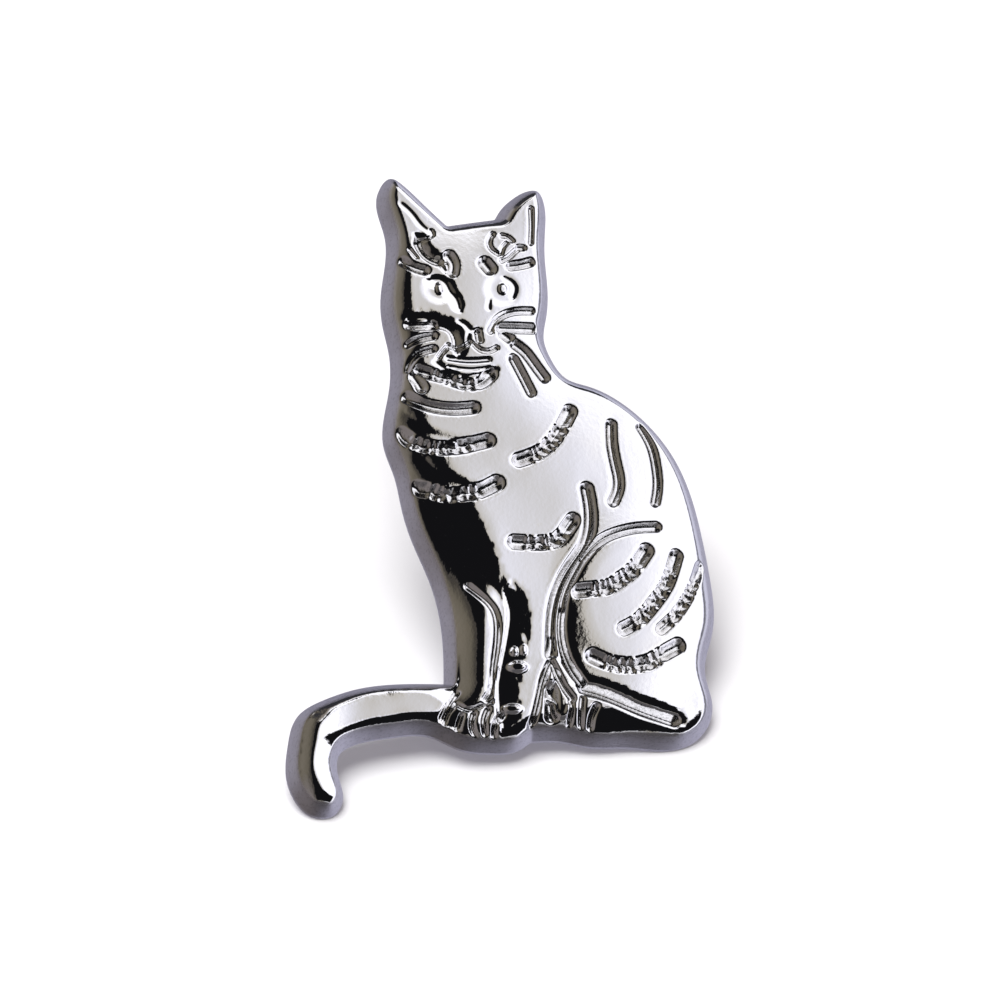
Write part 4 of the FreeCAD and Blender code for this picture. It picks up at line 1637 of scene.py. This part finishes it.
@dataclass
class Studio:
    """Camera, floor board, its lamp and the light that the metal mirrors.

    An azimuth turns from the face's normal towards -X and a drop goes below it, in degrees.
    """

    lens: float = 200.0
    sensor: float = 36.0
    distance: float = 277.78
    camera_azimuth: float = 10.0
    camera_drop: float = 17.0
    target: tuple[float, float, float] = (-0.916, 0.0, -2.041)
    floor_base: float = 0.42
    floor_tint: Colour = (1.0, 0.94, 0.96)
    paper: Colour = (1.0, 1.0, 1.0)
    sun: float = 2.7
    sun_azimuth: float = 20.0
    sun_drop: float = -20.0
    sun_width: float = 34.0
    board_half: float = 200.0
    board_lean: float = 34.4
    board_foot: Point = (-9.9, -18.80)
    board_line: Point = (0.971, 0.237)
    board_colour: Colour = (0.92, 0.92, 0.93)

    @staticmethod
    def direction(azimuth: float, drop: float) -> Vector:
        """The direction from the pin that an azimuth and a drop give."""
        turn, fall = math.radians(azimuth), math.radians(drop)
        return Vector((-math.sin(turn) * math.cos(fall), -math.cos(turn) * math.cos(fall),
                       -math.sin(fall)))

    def camera(self) -> None:
        """Place the camera below and to the left of the face's normal."""
        turn = math.radians(self.camera_azimuth)
        towards = self.direction(self.camera_azimuth, self.camera_drop)
        right = Vector((math.cos(turn), -math.sin(turn), 0.0))
        above = towards.cross(right)
        place = (Vector(self.target) + towards * self.distance) * MM
        data = bpy.data.cameras.new("camera")
        data.lens = self.lens
        data.sensor_width = self.sensor
        data.clip_start, data.clip_end = 0.01, 10.0
        made = bpy.data.objects.new("camera", data)
        made.matrix_world = Matrix((right, above, towards)).transposed().to_4x4()
        made.location = place
        bpy.context.scene.collection.objects.link(made)
        bpy.context.scene.camera = made

    def board(self) -> None:
        """Lay the white board that the pin's lower edge and clutch rest on."""
        along = Vector((self.board_line[0], 0.0, self.board_line[1]))
        across = Vector((-self.board_line[1], 0.0, self.board_line[0]))
        lean = math.radians(self.board_lean)
        uphill = across * math.cos(lean) + Vector((0.0, math.sin(lean), 0.0))
        foot = Vector((self.board_foot[0], 0.0, self.board_foot[1]))
        half = self.board_half
        corners = []
        for a, b in ((-half, -half), (half, -half), (half, half), (-half, half)):
            corners.append((foot + along * a + uphill * b) * MM)
        mesh = bpy.data.meshes.new("floor_board")
        mesh.from_pydata([tuple(c) for c in corners], [], [(0, 1, 2, 3)])
        made = bpy.data.objects.new("floor_board", mesh)
        bpy.context.scene.collection.objects.link(made)
        made.visible_glossy = False
        material = bpy.data.materials.new("white_board")
        material.use_nodes = True
        bench = Bench(material.node_tree)
        white = bench.node("ShaderNodeBsdfDiffuse",
                           {"Color": (*self.board_colour, 1.0)}).outputs[0]
        clear = bench.node("ShaderNodeBsdfTransparent").outputs[0]
        behind = bench.node("ShaderNodeNewGeometry").outputs["Backfacing"]
        mixed = bench.node("ShaderNodeMixShader", {0: behind, 1: white, 2: clear}).outputs[0]
        bench.feed(bench.node("ShaderNodeOutputMaterial").inputs["Surface"], mixed)
        mesh.materials.append(material)

    def lamp(self) -> None:
        """Shine on the board from the front, above and towards -X, unseen in the metal."""
        towards = self.direction(self.sun_azimuth, self.sun_drop)
        data = bpy.data.lights.new("board_lamp", "SUN")
        data.energy = self.sun
        data.angle = math.radians(self.sun_width)
        made = bpy.data.objects.new("board_lamp", data)
        made.rotation_mode = "QUATERNION"
        made.rotation_quaternion = towards.to_track_quat("Z", "Y")
        made.visible_glossy = False
        bpy.context.scene.collection.objects.link(made)

    def light(self) -> None:
        """Surround the pin with white for the board and shaped cards for the metal."""
        world = bpy.data.worlds.new("studio")
        bpy.context.scene.world = world
        world.use_nodes = True
        world.cycles.sampling_method = "NONE"
        bench = Bench(world.node_tree)
        place = bench.node("ShaderNodeTexCoord").outputs["Generated"]
        x, y, z = bench.node("ShaderNodeSeparateXYZ", {0: place}).outputs
        azimuth = bench.math("ARCTAN2", x, bench.math("MULTIPLY", y, -1.0))
        azimuth = bench.math("MULTIPLY", azimuth, 180 / math.pi)
        height = bench.math("MULTIPLY", bench.math("ARCSINE", z), 180 / math.pi)
        ramp = bench.node("ShaderNodeValToRGB")
        for k, (at, colour) in enumerate(SURROUND):
            stops = ramp.color_ramp.elements
            stop = stops[k] if k < 2 else stops.new(1.0)
            stop.position = (at + 180) / 360
            stop.color = (*colour, 1.0)
        turn = bench.math("MULTIPLY_ADD", azimuth, 1 / 360, 0.5)
        bench.feed(ramp.inputs[0], turn)
        seen = ramp.outputs[0]
        for panel in PANELS:
            mask = bench.math("MULTIPLY", self.band(bench, azimuth, panel.azimuth, panel.soft),
                              self.band(bench, height, panel.height, panel.soft))
            seen = bench.blend(mask, seen, (*panel.colour, 1.0))
        mirror, spread, paper = (
            bench.node("ShaderNodeBackground", {"Color": colour, "Strength": strength}).outputs[0]
            for colour, strength in ((seen, 1.0), ((*self.floor_tint, 1.0), self.floor_base),
                                     ((*self.paper, 1.0), 1.0)))
        path = bench.node("ShaderNodeLightPath").outputs
        shone = bench.node("ShaderNodeMixShader",
                           {0: path["Is Diffuse Ray"], 1: mirror, 2: spread}).outputs[0]
        shone = bench.node("ShaderNodeMixShader",
                           {0: path["Is Camera Ray"], 1: shone, 2: paper}).outputs[0]
        bench.feed(bench.node("ShaderNodeOutputWorld").inputs["Surface"], shone)

    @staticmethod
    def band(bench: Bench, value: Input, limits: tuple[float, float],
             soft: float) -> bpy.types.NodeSocket:
        """Make a mask that is 1 between two limits, with soft ends.

        Args:
            bench: Where the nodes go.
            value: The angle that is masked.
            limits: Its two limits.
            soft: Half the width of each end.

        Returns:
            The mask.
        """
        low, high = limits
        rise = bench.ramp(value, low - soft, low + soft)
        fall = bench.ramp(value, high - soft, high + soft, 1.0, 0.0)
        return bench.math("MULTIPLY", rise, fall)


# Colours round the pin at the height of its face, by azimuth as in LightPanel. A colour ramp
# starts with two stops, so the outer two come first.
SURROUND = (
    (-180.0, (0.40, 0.40, 0.50)),
    (180.0, (0.40, 0.40, 0.50)),
    (-117.0, (0.42, 0.41, 0.47)),
    (-90.0, (0.30, 0.28, 0.29)),
    (-68.0, (0.18, 0.16, 0.13)),
    (-50.0, (0.13, 0.115, 0.09)),
    (-38.0, (0.045, 0.040, 0.035)),
    (-33.0, (0.20, 0.18, 0.16)),
    (3.0, (0.50, 0.47, 0.42)),
    (10.0, (0.64, 0.63, 0.64)),
    (15.0, (0.82, 0.82, 0.90)),
    (22.0, (1.12, 1.12, 1.18)),
    (70.0, (1.12, 1.12, 1.22)),
    (80.0, (0.90, 0.90, 1.05)),
    (86.0, (0.16, 0.16, 0.19)),
    (96.0, (0.20, 0.20, 0.24)),
    (104.0, (0.62, 0.62, 0.76)),
    (137.0, (0.50, 0.49, 0.62)),
)

PANELS = (
    LightPanel("lower_left", (-260.0, -45.0), (-120.0, -8.0), 12.0, (0.19, 0.17, 0.17)),
    LightPanel("under", (-400.0, 400.0), (-120.0, -52.0), 10.0, (0.085, 0.08, 0.085)),
    LightPanel("high", (-20.0, 75.0), (29.0, 56.0), 5.0, (1.12, 1.12, 1.18)),
    LightPanel("above", (-400.0, 400.0), (60.0, 120.0), 4.0, (0.03, 0.03, 0.035)),
    LightPanel("black_side", (-36.0, 3.0), (-50.0, 48.0), 2.0, (0.006, 0.006, 0.007)),
    LightPanel("black_front", (-36.0, 62.0), (-50.0, -4.0), 2.0, (0.006, 0.006, 0.007)),
)


def main() -> None:
    """Build the studio and every sub-assembly, and report each piece."""
    logging.basicConfig(level=logging.INFO, format="%(name)s: %(message)s")
    bpy.context.scene.view_settings.view_transform = "Standard"
    studio = Studio()
    studio.camera()
    studio.lamp()
    studio.light()
    studio.board()

    casting = CatCasting().build()
    casting.data.materials.append(SILVER_PLATE.material())
    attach(casting, "badge")
    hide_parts("cat_casting")

    coil = ClutchSpring()
    spring = coil.build()
    coil.fit(spring)
    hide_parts("clutch_spring")

    grip = KnobGrip().build()
    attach(grip, "plunger")

    for name, finish in NODE_FINISHES.items():
        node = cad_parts[name]
        node.data.materials.clear()
        node.data.materials.append(finish.material())
        log.info("%s: %s", name, finish.name)


if __name__ == "__main__":
    main()
